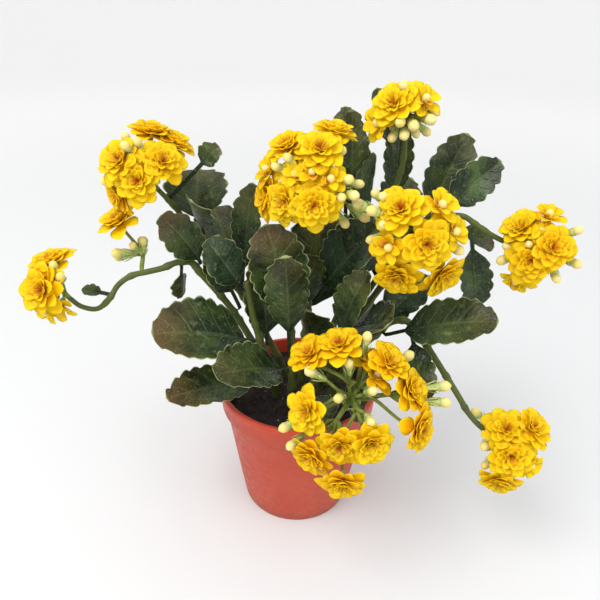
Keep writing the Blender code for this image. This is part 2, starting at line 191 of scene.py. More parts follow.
class LeafSizes(PropertyGroup):
    """Sizes and colours of the leaves."""
    thickness: length("Thickness", "Thickness of a leaf along its midrib", 1.4)
    lobe_pitch: length("Lobe pitch", "Distance between the rounded teeth of a margin", 7.4)
    lobe_depth: length("Lobe depth", "Depth of the notches between the teeth", 2.1)
    groove: length("Midrib groove", "Depth of the groove over the midrib", 0.45)
    ripple: length("Ripple", "Height of the waves along a margin", 0.7)
    # The deep green also paints shade towards each leaf's foot.
    deep: colour("Deep green", "Colour of the darkest parts", 0.007, 0.020, 0.006)
    mid: colour("Mid green", "Colour of the mottling", 0.050, 0.078, 0.018)
    blue: colour("Blue green", "Colour of the greyish leaves' mottling", 0.038, 0.075, 0.036)
    young: colour("Young green", "Colour of the young leaves' mottling", 0.070, 0.125, 0.035)
    dry: colour("Dry tip", "Colour of the dry, brown tips", 0.110, 0.062, 0.022)
    margin: colour("Margin", "Colour of the thin pale margin", 0.34, 0.39, 0.16)


class FlowerSizes(PropertyGroup):
    """Sizes and colours of the flowers, buds and their stalks."""
    petals: IntProperty(name="Petals", description="Petals in an open double flower", default=34, min=5)
    petal: length("Petal", "Length of an outer petal", 15.0)
    half_petals: IntProperty(name="Half-open petals", default=11, min=5,
                             description="Petals round the bud of a half-open flower")
    half_petal: length("Half-open petal", "Length of a half-open flower's outer petal", 12.0)
    bud: length("Bud", "Length of a bud", 8.8)
    to_light: share("Turn to the light", "How far a flower turns from its stalk towards the light", 0.5)
    fillers: IntProperty(name="Young buds", description="Small buds that fill the gaps of each spray",
                         default=9, min=0)
    bract: length("Bract", "Length of a small leaf at a fork", 17.0)
    bracts: IntProperty(name="Bracts", description="Small leaves round the fork of a spray", default=5, min=0)
    stalk: length("Stalk", "Radius of a flower's stalk", 0.95)
    outer_tilt: angle("Outer tilt", "Lean of the outer petals from the flower's axis", 84.0)
    inner_tilt: angle("Inner tilt", "Lean of the innermost petals from the flower's axis", 36.0)
    half_tilt: angle("Half-open tilt", "Lean of a half-open flower's innermost petals", 44.0)
    yellow: colour("Yellow", "Colour of the petals", 1.0, 0.64, 0.004)
    orange: colour("Orange", "Colour of the older petals", 1.0, 0.44, 0.002)
    eye: colour("Eye", "Colour at the flower's centre", 0.50, 0.085, 0.010)
    cream: colour("Cream", "Colour of the buds", 0.82, 0.73, 0.30)
    calyx: colour("Calyx", "Colour of the calyx under a flower", 0.34, 0.40, 0.12)
    green: colour("Stalk green", "Colour of the stalks and bracts", 0.140, 0.185, 0.034)


class StudioSettings(PropertyGroup):
    """Camera, floor and light."""
    camera_place: FloatVectorProperty(name="Camera", description="Where the camera stands",
                                      default=(-0.2 * MM, -306.2 * MM, 319.4 * MM),
                                      subtype="TRANSLATION", unit="LENGTH")
    down: angle("Down", "How far the camera looks down from level", 28.38)
    roll: angle("Roll", "Turn of the camera about its own axis", 1.48)
    lens: FloatProperty(name="Lens", description="Focal length on a 36 mm sensor", default=33.6, min=1.0)
    floor: colour("Floor", "Colour of the floor by the pot", 0.72, 0.73, 0.74)
    far_floor: colour("Far floor", "Colour of the floor far from the pot", 0.93, 0.93, 0.93)
    sky: FloatProperty(name="Sky", description="Strength of the light from all round", default=0.98,
                       min=0.0)
    key: FloatProperty(name="Key light", description="Power of the main soft light in watts",
                       default=11.5, min=0.0)
    fill: FloatProperty(name="Fill light", description="Power of the second soft light in watts",
                        default=2.5, min=0.0)


# Reading the frame

def merged_copy(name):
    """The corners of a CAD node, each once, as a bmesh joined along its edges."""
    shape = bmesh.new()
    shape.from_mesh(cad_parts[name].data)
    bmesh.ops.remove_doubles(shape, verts=shape.verts, dist=0.02 * MM)
    shape.verts.index_update()
    return shape


def stem_path(name):
    """A CAD stem's centres and radii from its foot to its tip, read ring by ring."""
    shape = merged_copy(name)
    foot = min(shape.verts, key=lambda corner: corner.co.z)
    ring = {corner for corner in shape.verts if (corner.co - foot.co).length < 7.0 * MM}
    seen, centres, radii = set(), [], []
    while ring:
        row = sorted(ring, key=lambda corner: corner.index)  # a fixed order, so sums round alike
        centre = sum((corner.co for corner in row), Vector()) / len(row)
        centres.append(np.array(centre))
        radii.append(sum((corner.co - centre).length for corner in row) / len(row))
        seen |= ring
        ring = {edge.other_vert(corner) for corner in ring for edge in corner.link_edges} - seen
    shape.free()
    return np.array(centres), np.array(radii)


def leaf_gauge(name):
    """A CAD leaf's seven stations: its middle, half width, and unit vectors across and up at each.

    The solid has seven rows of corners, half on each face. The middle of the narrow stalk and the
    middle of all the corners both lie on the midrib's own plane, which gives the way the rows run.
    """
    shape = merged_copy(name)
    corners = np.array([corner.co for corner in shape.verts])
    shape.free()
    apart = np.linalg.norm(corners[:, None] - corners[None], axis=2)
    densest = np.argsort(np.sort(apart, axis=1)[:, 7])[0]
    run = corners.mean(0) - corners[np.argsort(apart[densest])[:8]].mean(0)
    corners = corners[np.argsort(corners @ run)]
    breaks = np.sort(np.argsort(np.diff(corners @ run))[-6:]) + 1
    rows = np.split(corners, breaks)
    if min(len(row) for row in rows) < 8:
        raise RuntimeError(f"{name} doesn't have the seven rows of corners of a CAD leaf")
    if np.ptp(rows[1], axis=0).max() > np.ptp(rows[5], axis=0).max():
        rows = rows[::-1]
    centres = np.array([row.mean(0) for row in rows])
    heading = np.gradient(centres, axis=0)
    heading /= np.linalg.norm(heading, axis=1)[:, None]
    marks, across = [], []
    for row, centre, ahead in zip(rows, centres, heading):
        flat = row - centre - np.outer((row - centre) @ ahead, ahead)
        side = np.linalg.svd(flat)[2][0]
        if across and side @ across[-1] < 0:
            side = -side
        across.append(side)
        row = row[np.argsort(flat @ side)]
        half = len(row) // 2
        marks.append((row[:2].mean(0), row[half - 1:half + 1].mean(0), row[-2:].mean(0)))
    left, middle, right = np.array(marks).transpose(1, 0, 2)
    across = np.array(across)
    up = np.cross(heading, across)
    if np.sum((0.5 * (left + right) - middle) * up) < 0:
        across, up = -across, -up
    return middle, 0.5 * np.linalg.norm(right - left, axis=1), across, up


def smooth_between(stations, values, wanted):
    """Values at the wanted stations on a smooth curve through the known ones."""
    stations, values, wanted = (np.asarray(part, float) for part in (stations, values, wanted))
    slopes = np.gradient(values, stations, axis=0)
    at = np.clip(np.searchsorted(stations, wanted, side="right") - 1, 0, len(stations) - 2)
    column = (-1,) + (1,) * (values.ndim - 1)
    span = (stations[at + 1] - stations[at]).reshape(column)
    t = (wanted - stations[at]).reshape(column) / span
    return ((2 * t ** 3 - 3 * t ** 2 + 1) * values[at] + (t ** 3 - 2 * t ** 2 + t) * span * slopes[at]
            + (3 * t ** 2 - 2 * t ** 3) * values[at + 1] + (t ** 3 - t ** 2) * span * slopes[at + 1])


def stations_of(points):
    """Distances along a line of points."""
    return np.concatenate(([0.0], np.cumsum(np.linalg.norm(np.diff(points, axis=0), axis=1))))


def heading_of(azimuth, rise):
    """The unit vector at an azimuth and a rise in degrees."""
    around, up = math.radians(azimuth), math.radians(rise)
    return Vector((math.cos(around) * math.cos(up), math.sin(around) * math.cos(up), math.sin(up)))


# Building meshes

class Skin:
    """Closed skins gathered into one mesh, with named numbers kept for each corner."""

    def __init__(self):
        self.corners, self.faces, self.numbers = [], [], {}

    def loft(self, rings, first_pole=None, last_pole=None, **numbers):
        """Add a skin over rings that turn left round the way they follow each other.

        A pole closes an end at a point; without one the end ring is closed by a flat face. Each of
        the numbers is given per ring and corner, and a pole takes the mean of its ring.
        """
        rings = np.asarray(rings, float)
        count, sides = rings.shape[:2]
        start = len(self.corners)
        self.corners.extend(rings.reshape(-1, 3))
        values = {name: list(np.asarray(value, float).reshape(-1)) for name, value in numbers.items()}
        for ring in range(count - 1):
            for side in range(sides):
                near, far = start + ring * sides, start + (ring + 1) * sides
                after = (side + 1) % sides
                self.faces.append((near + side, near + after, far + after, far + side))
        for pole, ring, ends in ((first_pole, 0, True), (last_pole, count - 1, False)):
            loop = [start + ring * sides + side for side in range(sides)]
            if ends:
                loop.reverse()
            if pole is None:
                self.faces.append(tuple(loop))
                continue
            tip = len(self.corners)
            self.corners.append(np.asarray(pole, float))
            for near, after in zip(loop, loop[1:] + loop[:1]):
                self.faces.append((near, after, tip))
            for value in values.values():
                value.append(float(np.mean(value[ring * sides:(ring + 1) * sides])))
        for name, value in values.items():
            self.numbers.setdefault(name, []).extend(value)

    def tube(self, points, radii, sides):
        """Add a round, closed tube through the points."""
        points = [Vector(point) for point in points]
        side = Vector((0.3, 0.8, 0.5))
        rings = []
        for index, (point, radius) in enumerate(zip(points, map(float, radii))):
            ahead = (points[min(index + 1, len(points) - 1)] - points[max(index - 1, 0)]).normalized()
            side = (side - ahead * side.dot(ahead)).normalized()
            other = ahead.cross(side)
            turns = (math.tau * step / sides for step in range(sides))
            rings.append([point + radius * (math.cos(turn) * side + math.sin(turn) * other)
                          for turn in turns])
        self.loft(rings)

    def mesh(self, name):
        mesh = bpy.data.meshes.new(name)
        mesh.from_pydata([tuple(corner) for corner in self.corners], [], self.faces)
        mesh.shade_smooth()
        for label, value in self.numbers.items():
            keep_numbers(mesh, label, value)
        return mesh


def keep_numbers(mesh, label, numbers):
    """Keep a number for each corner of a mesh, under a name."""
    kept = mesh.attributes.new(label, "FLOAT", "POINT")
    kept.data.foreach_set("value", np.array(numbers, np.float32))


def new_piece(name, mesh, *materials):
    """Put a mesh in the scene as an object at the origin."""
    for material in materials:
        mesh.materials.append(material)
    piece = bpy.data.objects.new(name, mesh)
    bpy.context.scene.collection.objects.link(piece)
    return piece


def settled(piece):
    """Turn a piece's live modifiers into a plain mesh."""
    graph = bpy.context.evaluated_depsgraph_get()
    mesh = bpy.data.meshes.new_from_object(piece.evaluated_get(graph), preserve_all_data_layers=True,
                                           depsgraph=graph)
    piece.modifiers.clear()
    piece.data = mesh
    return piece


def joined(name, parts):
    """Make one piece of several, each keeping its own material."""
    with bpy.context.temp_override(active_object=parts[0], object=parts[0], selected_objects=parts,
                                   selected_editable_objects=parts):
        bpy.ops.object.join()
    parts[0].name = parts[0].data.name = name
    return parts[0]


def settle_on_frame(piece, slot, *nodes):
    """Let a finished piece ride on the body and stand for its CAD nodes."""
    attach(piece, "root")
    if nodes:
        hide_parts(*nodes)


# Wiring node trees

def node(tree, kind, inputs=None, **settings):
    """Add a node; inputs maps its sockets to values or to the outputs that feed them."""
    made = tree.nodes.new(kind)
    for setting, value in settings.items():
        setattr(made, setting, value)
    for socket, value in (inputs or {}).items():
        if isinstance(value, bpy.types.NodeSocket):
            tree.links.new(value, made.inputs[socket])
        else:
            made.inputs[socket].default_value = value
    return made


def maths(tree, operation, first, second=0.0):
    return node(tree, "ShaderNodeMath", {0: first, 1: second}, operation=operation).outputs[0]


def blended(tree, mask, low, high):
    """A colour between two others, by a mask from 0 to 1."""
    return node(tree, "ShaderNodeMix", {0: mask, 6: low, 7: high}, data_type="RGBA").outputs[2]


def ranged(tree, value, low, high, to_low=0.0, to_high=1.0):
    return node(tree, "ShaderNodeMapRange", {0: value, 1: low, 2: high, 3: to_low, 4: to_high},
                interpolation_type="SMOOTHSTEP").outputs[0]


def object_place(tree):
    return node(tree, "ShaderNodeTexCoord").outputs["Object"]


def height_above_ground(tree):
    return node(tree, "ShaderNodeSeparateXYZ", {0: object_place(tree)}).outputs[2]


def kept_number(tree, name):
    """A number that a piece's mesh keeps for each corner."""
    return node(tree, "ShaderNodeAttribute", attribute_name=name).outputs["Fac"]


def new_group(name, kind, inputs, outputs):
    """A node group with its sockets, given as (name, socket type, default) and (name, type)."""
    tree = bpy.data.node_groups.new(name, kind)
    for label, socket, default in inputs:
        made = tree.interface.new_socket(label, in_out="INPUT", socket_type=socket)
        if default is not None:
            made.default_value = default
    for label, socket in outputs:
        tree.interface.new_socket(label, in_out="OUTPUT", socket_type=socket)
    return tree, node(tree, "NodeGroupInput").outputs, node(tree, "NodeGroupOutput").inputs


def kept_group(name):
    """Decorate the builder of a node group, so that the group is built once and reused."""
    return lambda build: lambda: bpy.data.node_groups.get(name) or build(name)


@kept_group("Mottle")
def mottle_group(name):
    """Soft cloudy patches on Object coordinates, as a mask and as a fine height."""
    tree, given, result = new_group(
        name, "ShaderNodeTree",
        (("Scale", "NodeSocketFloat", 100.0), ("Detail", "NodeSocketFloat", 4.0),
         ("Low", "NodeSocketFloat", 0.4), ("High", "NodeSocketFloat", 0.6)),
        (("Mask", "NodeSocketFloat"), ("Height", "NodeSocketFloat")))
    place = object_place(tree)
    cloud = node(tree, "ShaderNodeTexNoise", {"Vector": place, "Scale": given["Scale"],
                                              "Detail": given["Detail"]}).outputs[0]
    tree.links.new(ranged(tree, cloud, given["Low"], given["High"]), result["Mask"])
    tree.links.new(cloud, result["Height"])
    return tree


@kept_group("Specks")
def speck_group(name):
    """Small scattered specks on Object coordinates."""
    tree, given, result = new_group(
        name, "ShaderNodeTree",
        (("Scale", "NodeSocketFloat", 900.0), ("Size", "NodeSocketFloat", 0.16),
         ("Amount", "NodeSocketFloat", 0.35)),
        (("Mask", "NodeSocketFloat"),))
    place = object_place(tree)
    cells = node(tree, "ShaderNodeTexVoronoi", {"Vector": place, "Scale": given["Scale"]})
    dots = maths(tree, "LESS_THAN", cells.outputs["Distance"], given["Size"])
    pick = node(tree, "ShaderNodeSeparateColor", {0: cells.outputs["Color"]}).outputs[0]
    kept = maths(tree, "LESS_THAN", pick, given["Amount"])
    tree.links.new(maths(tree, "MULTIPLY", dots, kept), result["Mask"])
    return tree


@kept_group("Streaks")
def streak_group(name):
    """Fine streaks that run from a part's base to its tip, by its own along and across numbers."""
    tree, given, result = new_group(
        name, "ShaderNodeTree",
        (("Along", "NodeSocketFloat", 0.0), ("Across", "NodeSocketFloat", 0.0),
         ("Length", "NodeSocketFloat", 1.5), ("Count", "NodeSocketFloat", 9.0)),
        (("Mask", "NodeSocketFloat"),))
    place = node(tree, "ShaderNodeCombineXYZ", {
        0: maths(tree, "MULTIPLY", given["Along"], given["Length"]),
        1: maths(tree, "MULTIPLY", given["Across"], given["Count"])}).outputs[0]
    lines = node(tree, "ShaderNodeTexNoise", {"Vector": place, "Scale": 1.0, "Detail": 2.0}).outputs[0]
    tree.links.new(ranged(tree, lines, 0.35, 0.65), result["Mask"])
    return tree


@kept_group("Side veins")
def vein_group(name):
    """Side veins that sweep forward from a leaf's midrib to its margin."""
    tree, given, result = new_group(
        name, "ShaderNodeTree",
        (("Along", "NodeSocketFloat", 0.0), ("Across", "NodeSocketFloat", 0.0),
         ("Pairs", "NodeSocketFloat", 5.0), ("Sweep", "NodeSocketFloat", 0.25)),
        (("Mask", "NodeSocketFloat"),))
    away = maths(tree, "ABSOLUTE", given["Across"])
    swept = maths(tree, "SUBTRACT", given["Along"], maths(tree, "MULTIPLY", away, given["Sweep"]))
    wave = maths(tree, "FRACT", maths(tree, "MULTIPLY", swept, given["Pairs"]))
    side = ranged(tree, maths(tree, "ABSOLUTE", maths(tree, "SUBTRACT", wave, 0.5)), 0.0, 0.10, 1.0, 0.0)
    fading = ranged(tree, away, 0.55, 0.95, 0.8, 0.0)
    middle = ranged(tree, away, 0.02, 0.09, 1.0, 0.0)
    tree.links.new(maths(tree, "MAXIMUM", maths(tree, "MULTIPLY", side, fading), middle), result["Mask"])
    return tree


def placed_group(tree, group, **values):
    """Put a shared effect into a material with its own values."""
    made = node(tree, "ShaderNodeGroup")
    made.node_tree = group
    for label, value in values.items():
        socket = made.inputs[label.replace("_", " ")]
        if isinstance(value, bpy.types.NodeSocket):
            tree.links.new(value, socket)
        else:
            socket.default_value = value
    return made.outputs


def new_finish(name, **numbers):
    """A material's tree and its shader, with the plain numbers on the shader's own sockets."""
    material = bpy.data.materials.new(name)
    material.use_nodes = True
    tree = material.node_tree
    shader = tree.nodes["Principled BSDF"]
    for label, value in numbers.items():
        shader.inputs[label.replace("_", " ")].default_value = value
    return material, tree, shader


def finish(tree, shader, base, roughness=None, height=None, depth=0.0001, strength=0.5):
    """Feed a material's colour, roughness and relief to its shader."""
    tree.links.new(base, shader.inputs["Base Color"])
    if roughness is not None:
        tree.links.new(roughness, shader.inputs["Roughness"])
    if height is not None:
        relief = node(tree, "ShaderNodeBump", {"Height": height, "Distance": depth, "Strength": strength})
        tree.links.new(relief.outputs[0], shader.inputs["Normal"])


# Pot

def pot_plastic(sizes):
    """Satin moulded plastic, scuffed pale in patches, painted paler low down as painted light, with painted
    shade below the rim's top edge, darker at the foot and flecked with soil dust.
    """
    material, tree, shader = new_finish("terracotta_plastic", Specular_IOR_Level=0.42)
    height = height_above_ground(tree)
    clouds = placed_group(tree, mottle_group(), Scale=38.0, Detail=5.0, Low=0.38, High=0.72)
    scuffs = placed_group(tree, mottle_group(), Scale=260.0, Detail=8.0, Low=0.56, High=0.70)
    grit = placed_group(tree, speck_group(), Scale=520.0, Size=0.20, Amount=0.10)
    # Painted light: the pale clouds grow stronger towards the foot, so the pot is painted paler low down.
    fading = ranged(tree, height, 0.0, sizes.height, 0.75, 0.15)
    base = blended(tree, maths(tree, "MULTIPLY", clouds["Mask"], fading), sizes.plastic, sizes.worn_and_lit)
    base = blended(tree, maths(tree, "MULTIPLY", scuffs["Mask"], 0.22), base, sizes.worn_and_lit)
    # Painted shade: below the rim's top edge the pot is darkened with the dust colour, fully from 11 mm down;
    # towards the foot it is darkened more.
    foot = ranged(tree, height, 0.002, 0.016, 0.7, 0.0)
    below_rim_shade = ranged(tree, height, sizes.height - 0.011, sizes.height - 0.002, 0.30, 0.0)
    dust_and_shade_mask = maths(tree, "MULTIPLY", maths(tree, "MAXIMUM", foot, below_rim_shade), scuffs["Height"])
    base = blended(tree, dust_and_shade_mask, base, sizes.dust_and_shade)
    base = blended(tree, maths(tree, "MULTIPLY", grit["Mask"], 0.5), base, sizes.dust_and_shade)
    roughness = ranged(tree, scuffs["Height"], 0.3, 0.7, sizes.roughness - 0.06, sizes.roughness + 0.14)
    finish(tree, shader, base, roughness, scuffs["Height"], 0.00025, 0.25)
    return material


def lathe(skin, outline, steps):
    """Turn an outline of radii and heights about the Z axis, with its two ends on the axis."""
    turns = np.arange(steps) * math.tau / steps
    rings = [np.column_stack((radius * np.cos(turns), radius * np.sin(turns), np.full(steps, height)))
             for radius, height in outline[1:-1]]
    skin.loft(rings, (0.0, 0.0, outline[0][1]), (0.0, 0.0, outline[-1][1]))


class KALANCHOE_OT_pot(Operator):
    """Mould the nursery pot with its collar, rounded rim and drain holes"""
    bl_idname = "kalanchoe.pot"
    bl_label = "Pot"

    def execute(self, context):
        sizes = context.scene.kalanchoe_pot
        rim, top, base, wall = sizes.rim_radius, sizes.height, sizes.base_radius, sizes.wall
        shoulder = top - sizes.collar
        body_top, bore = rim - 3.9 * MM, rim - 2.9 * MM
        floor = 1.8 * MM
        outline = (
            (0.0, 0.9 * MM), (16.0 * MM, 0.9 * MM), (17.5 * MM, 0.5 * MM), (30.5 * MM, 0.5 * MM),
            (31.5 * MM, 0.0), (base - 1.2 * MM, 0.0), (base - 0.5 * MM, 0.25 * MM),
            (base - 0.05 * MM, 1.1 * MM), (base + 0.15 * MM, 2.2 * MM),
            (base + 0.27 * (body_top - base), 0.26 * shoulder),
            (base + 0.52 * (body_top - base), 0.51 * shoulder),
            (base + 0.78 * (body_top - base), 0.77 * shoulder),
            (body_top - 0.05 * MM, shoulder - 0.9 * MM), (body_top + 0.2 * MM, shoulder - 0.35 * MM),
            (rim - 1.8 * MM, shoulder), (rim - 1.45 * MM, shoulder + 0.35 * MM),
            (rim - 1.25 * MM, shoulder + 1.6 * MM), (rim - 0.6 * MM, top - 4.4 * MM),
            (rim - 0.45 * MM, top - 3.9 * MM), (rim - 0.1 * MM, top - 3.3 * MM), (rim, top - 2.7 * MM),
            (rim, top - 1.0 * MM), (rim - 0.25 * MM, top - 0.35 * MM), (rim - 0.8 * MM, top),
            (bore + 0.8 * MM, top), (bore + 0.2 * MM, top - 0.3 * MM), (bore, top - 0.9 * MM),
            (bore, shoulder), (body_top - wall, shoulder - wall),
            (base - wall + 0.5 * (body_top - base), 0.5 * shoulder), (base - wall, floor + 0.8 * MM),
            (base - wall - 0.8 * MM, floor), (0.0, floor),
        )
        skin = Skin()
        lathe(skin, outline, sizes.steps)
        pot = new_piece("nursery_pot", skin.mesh("nursery_pot"), pot_plastic(sizes))
        cutter_skin = Skin()
        for hole in range(sizes.drain_holes):
            middle = sizes.drain_circle * heading_of(hole * 360.0 / sizes.drain_holes, 0.0)
            ends = [middle + Vector((0.0, 0.0, height)) for height in (-3.0 * MM, 5.0 * MM)]
            cutter_skin.tube(ends, (sizes.drain_radius,) * 2, 32)
        cutter = new_piece("drain_cutter", cutter_skin.mesh("drain_cutter"))
        cut = pot.modifiers.new("drain holes", "BOOLEAN")
        cut.operation, cut.solver, cut.object = "DIFFERENCE", "EXACT", cutter
        settled(pot)
        bpy.data.objects.remove(cutter, do_unlink=True)
        smooth_within(pot.data, 38.0)
        settle_on_frame(pot, "terracotta_plastic", "pot")
        return {"FINISHED"}


def smooth_within(mesh, degrees):
    """Shade a mesh smooth, but for the edges that turn by more than an angle."""
    shape = bmesh.new()
    shape.from_mesh(mesh)
    for edge in shape.edges:
        edge.smooth = len(edge.link_faces) == 2 and edge.calc_face_angle(0.0) < math.radians(degrees)
    shape.to_mesh(mesh)
    shape.free()


# Soil

def soil_mix(name, light, dark, rough):
    """Crumbly potting mix, darker where it is damp."""
    material, tree, shader = new_finish(name, Roughness=rough)
    patches = placed_group(tree, mottle_group(), Scale=120.0, Detail=8.0, Low=0.45, High=0.75)
    fine = placed_group(tree, mottle_group(), Scale=1400.0, Detail=6.0, Low=0.4, High=0.7)
    base = blended(tree, maths(tree, "MULTIPLY", patches["Mask"], 0.7), dark, light)
    base = blended(tree, maths(tree, "MULTIPLY", fine["Mask"], 0.35), base, light)
    finish(tree, shader, base, None, fine["Height"], 0.0006, 0.8)
    return material


def crumb_mesh(name, seed):
    """One lumpy crumb about a metre across, for scaling down."""
    rng = np.random.default_rng(seed)
    shape = bmesh.new()
    bmesh.ops.create_icosphere(shape, subdivisions=1, radius=0.5)
    for corner in shape.verts:
        corner.co *= rng.uniform(0.65, 1.1)
        corner.co.z *= 0.75
    mesh = bpy.data.meshes.new(name)
    shape.to_mesh(mesh)
    shape.free()
    return mesh


def dress(tree, copies, look, result):
    """End a geometry tree: make its copies real and give them their material."""
    real = node(tree, "GeometryNodeRealizeInstances", {0: copies}).outputs[0]
    dressed = node(tree, "GeometryNodeSetMaterial", {"Geometry": real, "Material": look})
    tree.links.new(dressed.outputs[0], result)


@kept_group("Scatter")
def scatter_tree(name):
    """Scatter one small thing over a surface, each turned and sized by chance."""
    tree, given, result = new_group(
        name, "GeometryNodeTree",
        (("Surface", "NodeSocketGeometry", None), ("Thing", "NodeSocketObject", None),
         ("Density", "NodeSocketFloat", 1000.0), ("Smallest", "NodeSocketFloat", 0.001),
         ("Largest", "NodeSocketFloat", 0.003), ("Seed", "NodeSocketInt", 1),
         ("Finish", "NodeSocketMaterial", None)),
        (("Geometry", "NodeSocketGeometry"),))
    places = node(tree, "GeometryNodeDistributePointsOnFaces", {
        "Mesh": given["Surface"], "Density": given["Density"], "Seed": given["Seed"]})
    turn = node(tree, "FunctionNodeRandomValue", {"Max": (math.tau,) * 3, "Seed": given["Seed"]},
                data_type="FLOAT_VECTOR").outputs[0]
    size = node(tree, "FunctionNodeRandomValue", {
        2: given["Smallest"], 3: given["Largest"], "Seed": given["Seed"]}, data_type="FLOAT").outputs[1]
    thing = node(tree, "GeometryNodeObjectInfo", {"Object": given["Thing"]}).outputs["Geometry"]
    tumbled = node(tree, "FunctionNodeEulerToRotation", {0: turn}).outputs[0]
    spread = node(tree, "GeometryNodeInstanceOnPoints", {
        "Points": places.outputs["Points"], "Instance": thing, "Rotation": tumbled, "Scale": size})
    dress(tree, spread.outputs[0], given["Finish"], result["Geometry"])
    return tree


def grown(piece, tree, **values):
    """Run a piece through a geometry tree with its own values, and make the result plain."""
    run = piece.modifiers.new(tree.name, "NODES")
    run.node_group = tree
    for socket in tree.interface.items_tree:
        if socket.in_out == "INPUT" and socket.name.replace(" ", "_") in values:
            run[socket.identifier] = values[socket.name.replace(" ", "_")]
    return settled(piece)


def soil_surface(sizes, steps=96, ring_count=22):
    """The lumpy top of the soil, as rings from its centre out, at the CAD soil's own heights."""
    low, high = SOIL_BOX
    edge = SOIL_BOX[1].x
    crown = 2.4 * MM
    radii = np.linspace(0.0, 1.0, ring_count + 1)[1:] ** 0.8 * edge
    turns = np.arange(steps) * math.tau / steps
    rings = []
    for radius in radii:
        level = high.z - crown * (radius / edge) ** 1.6
        x, y = radius * np.cos(turns), radius * np.sin(turns)
        lumps = (np.sin(x * 310 + 1.3) * np.cos(y * 270 - 0.4) + 0.7 * np.sin(x * 720 - y * 510 + 2.0)
                 + 0.5 * np.cos(x * 1130 + y * 940)) / 2.2
        fade = min(1.0, (edge - radius) / (3.0 * MM) + 0.15)
        rings.append(np.column_stack((x, y, level + sizes.relief * 0.5 * fade * (lumps - 0.4))))
    return rings, (0.0, 0.0, high.z - 0.3 * sizes.relief), low.z


class KALANCHOE_OT_soil(Operator):
    """Fill the pot with lumpy soil, crumbs and a few pale mineral grains"""
    bl_idname = "kalanchoe.soil"
    bl_label = "Soil"

    def execute(self, context):
        sizes, pot = context.scene.kalanchoe_soil, context.scene.kalanchoe_pot
        dark = soil_mix("potting_soil", sizes.dry, sizes.damp, 0.95)
        crumbly = soil_mix("soil_crumbs", sizes.dry, sizes.damp, 0.9)
        pale = soil_mix("mineral_grains", sizes.grain, sizes.dry, 0.8)
        rings, pole, bottom = soil_surface(sizes)
        shoulder = pot.height - pot.collar
        inner = pot.base_radius - pot.wall - sizes.clearance
        upper = pot.rim_radius - 3.9 * MM - pot.wall - sizes.clearance
        turns = np.arange(len(rings[0])) * math.tau / len(rings[0])
        sides = [np.column_stack((radius * np.cos(turns), radius * np.sin(turns), np.full(len(turns), level)))
                 for radius, level in ((inner - 1.0 * MM, bottom), (inner, bottom + 1.2 * MM),
                                       (upper, shoulder - pot.wall),
                                       (SOIL_BOX[1].x, shoulder + sizes.clearance))]
        skin = Skin()
        skin.loft(sides + rings[::-1], (0.0, 0.0, bottom), pole)
        ground = new_piece("soil_bed", skin.mesh("soil_bed"), dark)
        top = Skin()
        top.loft(rings[:-1][::-1], (0.0, 0.0, pole[2] - 2.0 * MM), pole)
        parts = [ground]
        for label, density, small, large, seed, look in (
                ("soil_crumbs", sizes.crumb_density, 0.25, 1.0, 3, crumbly),
                ("mineral_grains", sizes.grain_density, 0.35, 0.75, 8, pale)):
            crumb = new_piece(f"{label}_shape", crumb_mesh(label, seed))
            bed = new_piece(label, top.mesh(label))
            grown(bed, scatter_tree(), Thing=crumb, Density=density, Smallest=small * sizes.crumb,
                  Largest=large * sizes.crumb, Seed=seed, Finish=look)
            bpy.data.objects.remove(crumb, do_unlink=True)
            parts.append(bed)
        settle_on_frame(joined("potting_soil", parts), "potting_soil", "soil")
        return {"FINISHED"}


# Stems

def stem_skin_finish(sizes):
    """Green to olive stem with long patches and corky scars."""
    material, tree, shader = new_finish("stem_green", Specular_IOR_Level=0.28)
    patches = placed_group(tree, mottle_group(), Scale=55.0, Detail=4.0, Low=0.40, High=0.62)
    fine = placed_group(tree, mottle_group(), Scale=900.0, Detail=5.0, Low=0.45, High=0.70)
    scars = placed_group(tree, speck_group(), Scale=330.0, Size=0.22, Amount=0.18)
    height = height_above_ground(tree)
    age = ranged(tree, height, POT_BOX[1].z, POT_BOX[1].z + 0.075, 0.85, 0.2)
    base = blended(tree, maths(tree, "MULTIPLY", patches["Mask"], age), sizes.green, sizes.olive)
    base = blended(tree, maths(tree, "MULTIPLY", fine["Mask"], 0.22), base, sizes.olive)
    base = blended(tree, maths(tree, "MULTIPLY", scars["Mask"], 0.55), base, sizes.scar)
    roughness = ranged(tree, fine["Height"], 0.3, 0.7, 0.42, 0.60)
    finish(tree, shader, base, roughness, fine["Height"], 0.0002, 0.35)
    return material


class KALANCHOE_OT_stems(Operator):
    """Grow the round, jointed stems out of the soil along the CAD stems"""
    bl_idname = "kalanchoe.stems"
    bl_label = "Stems"

    def execute(self, context):
        sizes = context.scene.kalanchoe_stems
        look = stem_skin_finish(sizes)
        leaf_feet = np.array([leaf_gauge(name)[0][0] for name in LEAF_NODES])
        for name in STEM_NODES:
            centres, radii = stem_path(name)
            down = (centres[0] - centres[1]) / np.linalg.norm(centres[0] - centres[1])
            centres = np.vstack((centres[0] + down * sizes.into_soil, centres))
            radii = np.concatenate(([radii[0] * 1.05], radii))
            walked = stations_of(centres)
            wanted = np.linspace(0.0, walked[-1], max(8, int(walked[-1] / (1.6 * MM))))
            line = smooth_between(walked, centres, wanted)
            thick = sizes.slimness * np.interp(wanted, walked, radii)
            distances = [np.linalg.norm(line - foot, axis=1) for foot in leaf_feet]
            swells = [wanted[away.argmin()] for away in distances if away.min() < sizes.near_stem]
            swells.extend(np.arange(sizes.node_gap, walked[-1] - 0.5 * sizes.node_gap, sizes.node_gap))
            for swell in swells:
                bump = np.exp(-((wanted - swell) / sizes.node_length) ** 2)
                thick = thick * (1.0 + sizes.node_swell * bump)
            skin = Skin()
            skin.tube(line, thick, sizes.sides)
            settle_on_frame(new_piece(f"{name}_skin", skin.mesh(name), look), "stem_green", name)
        return {"FINISHED"}


# Leaves

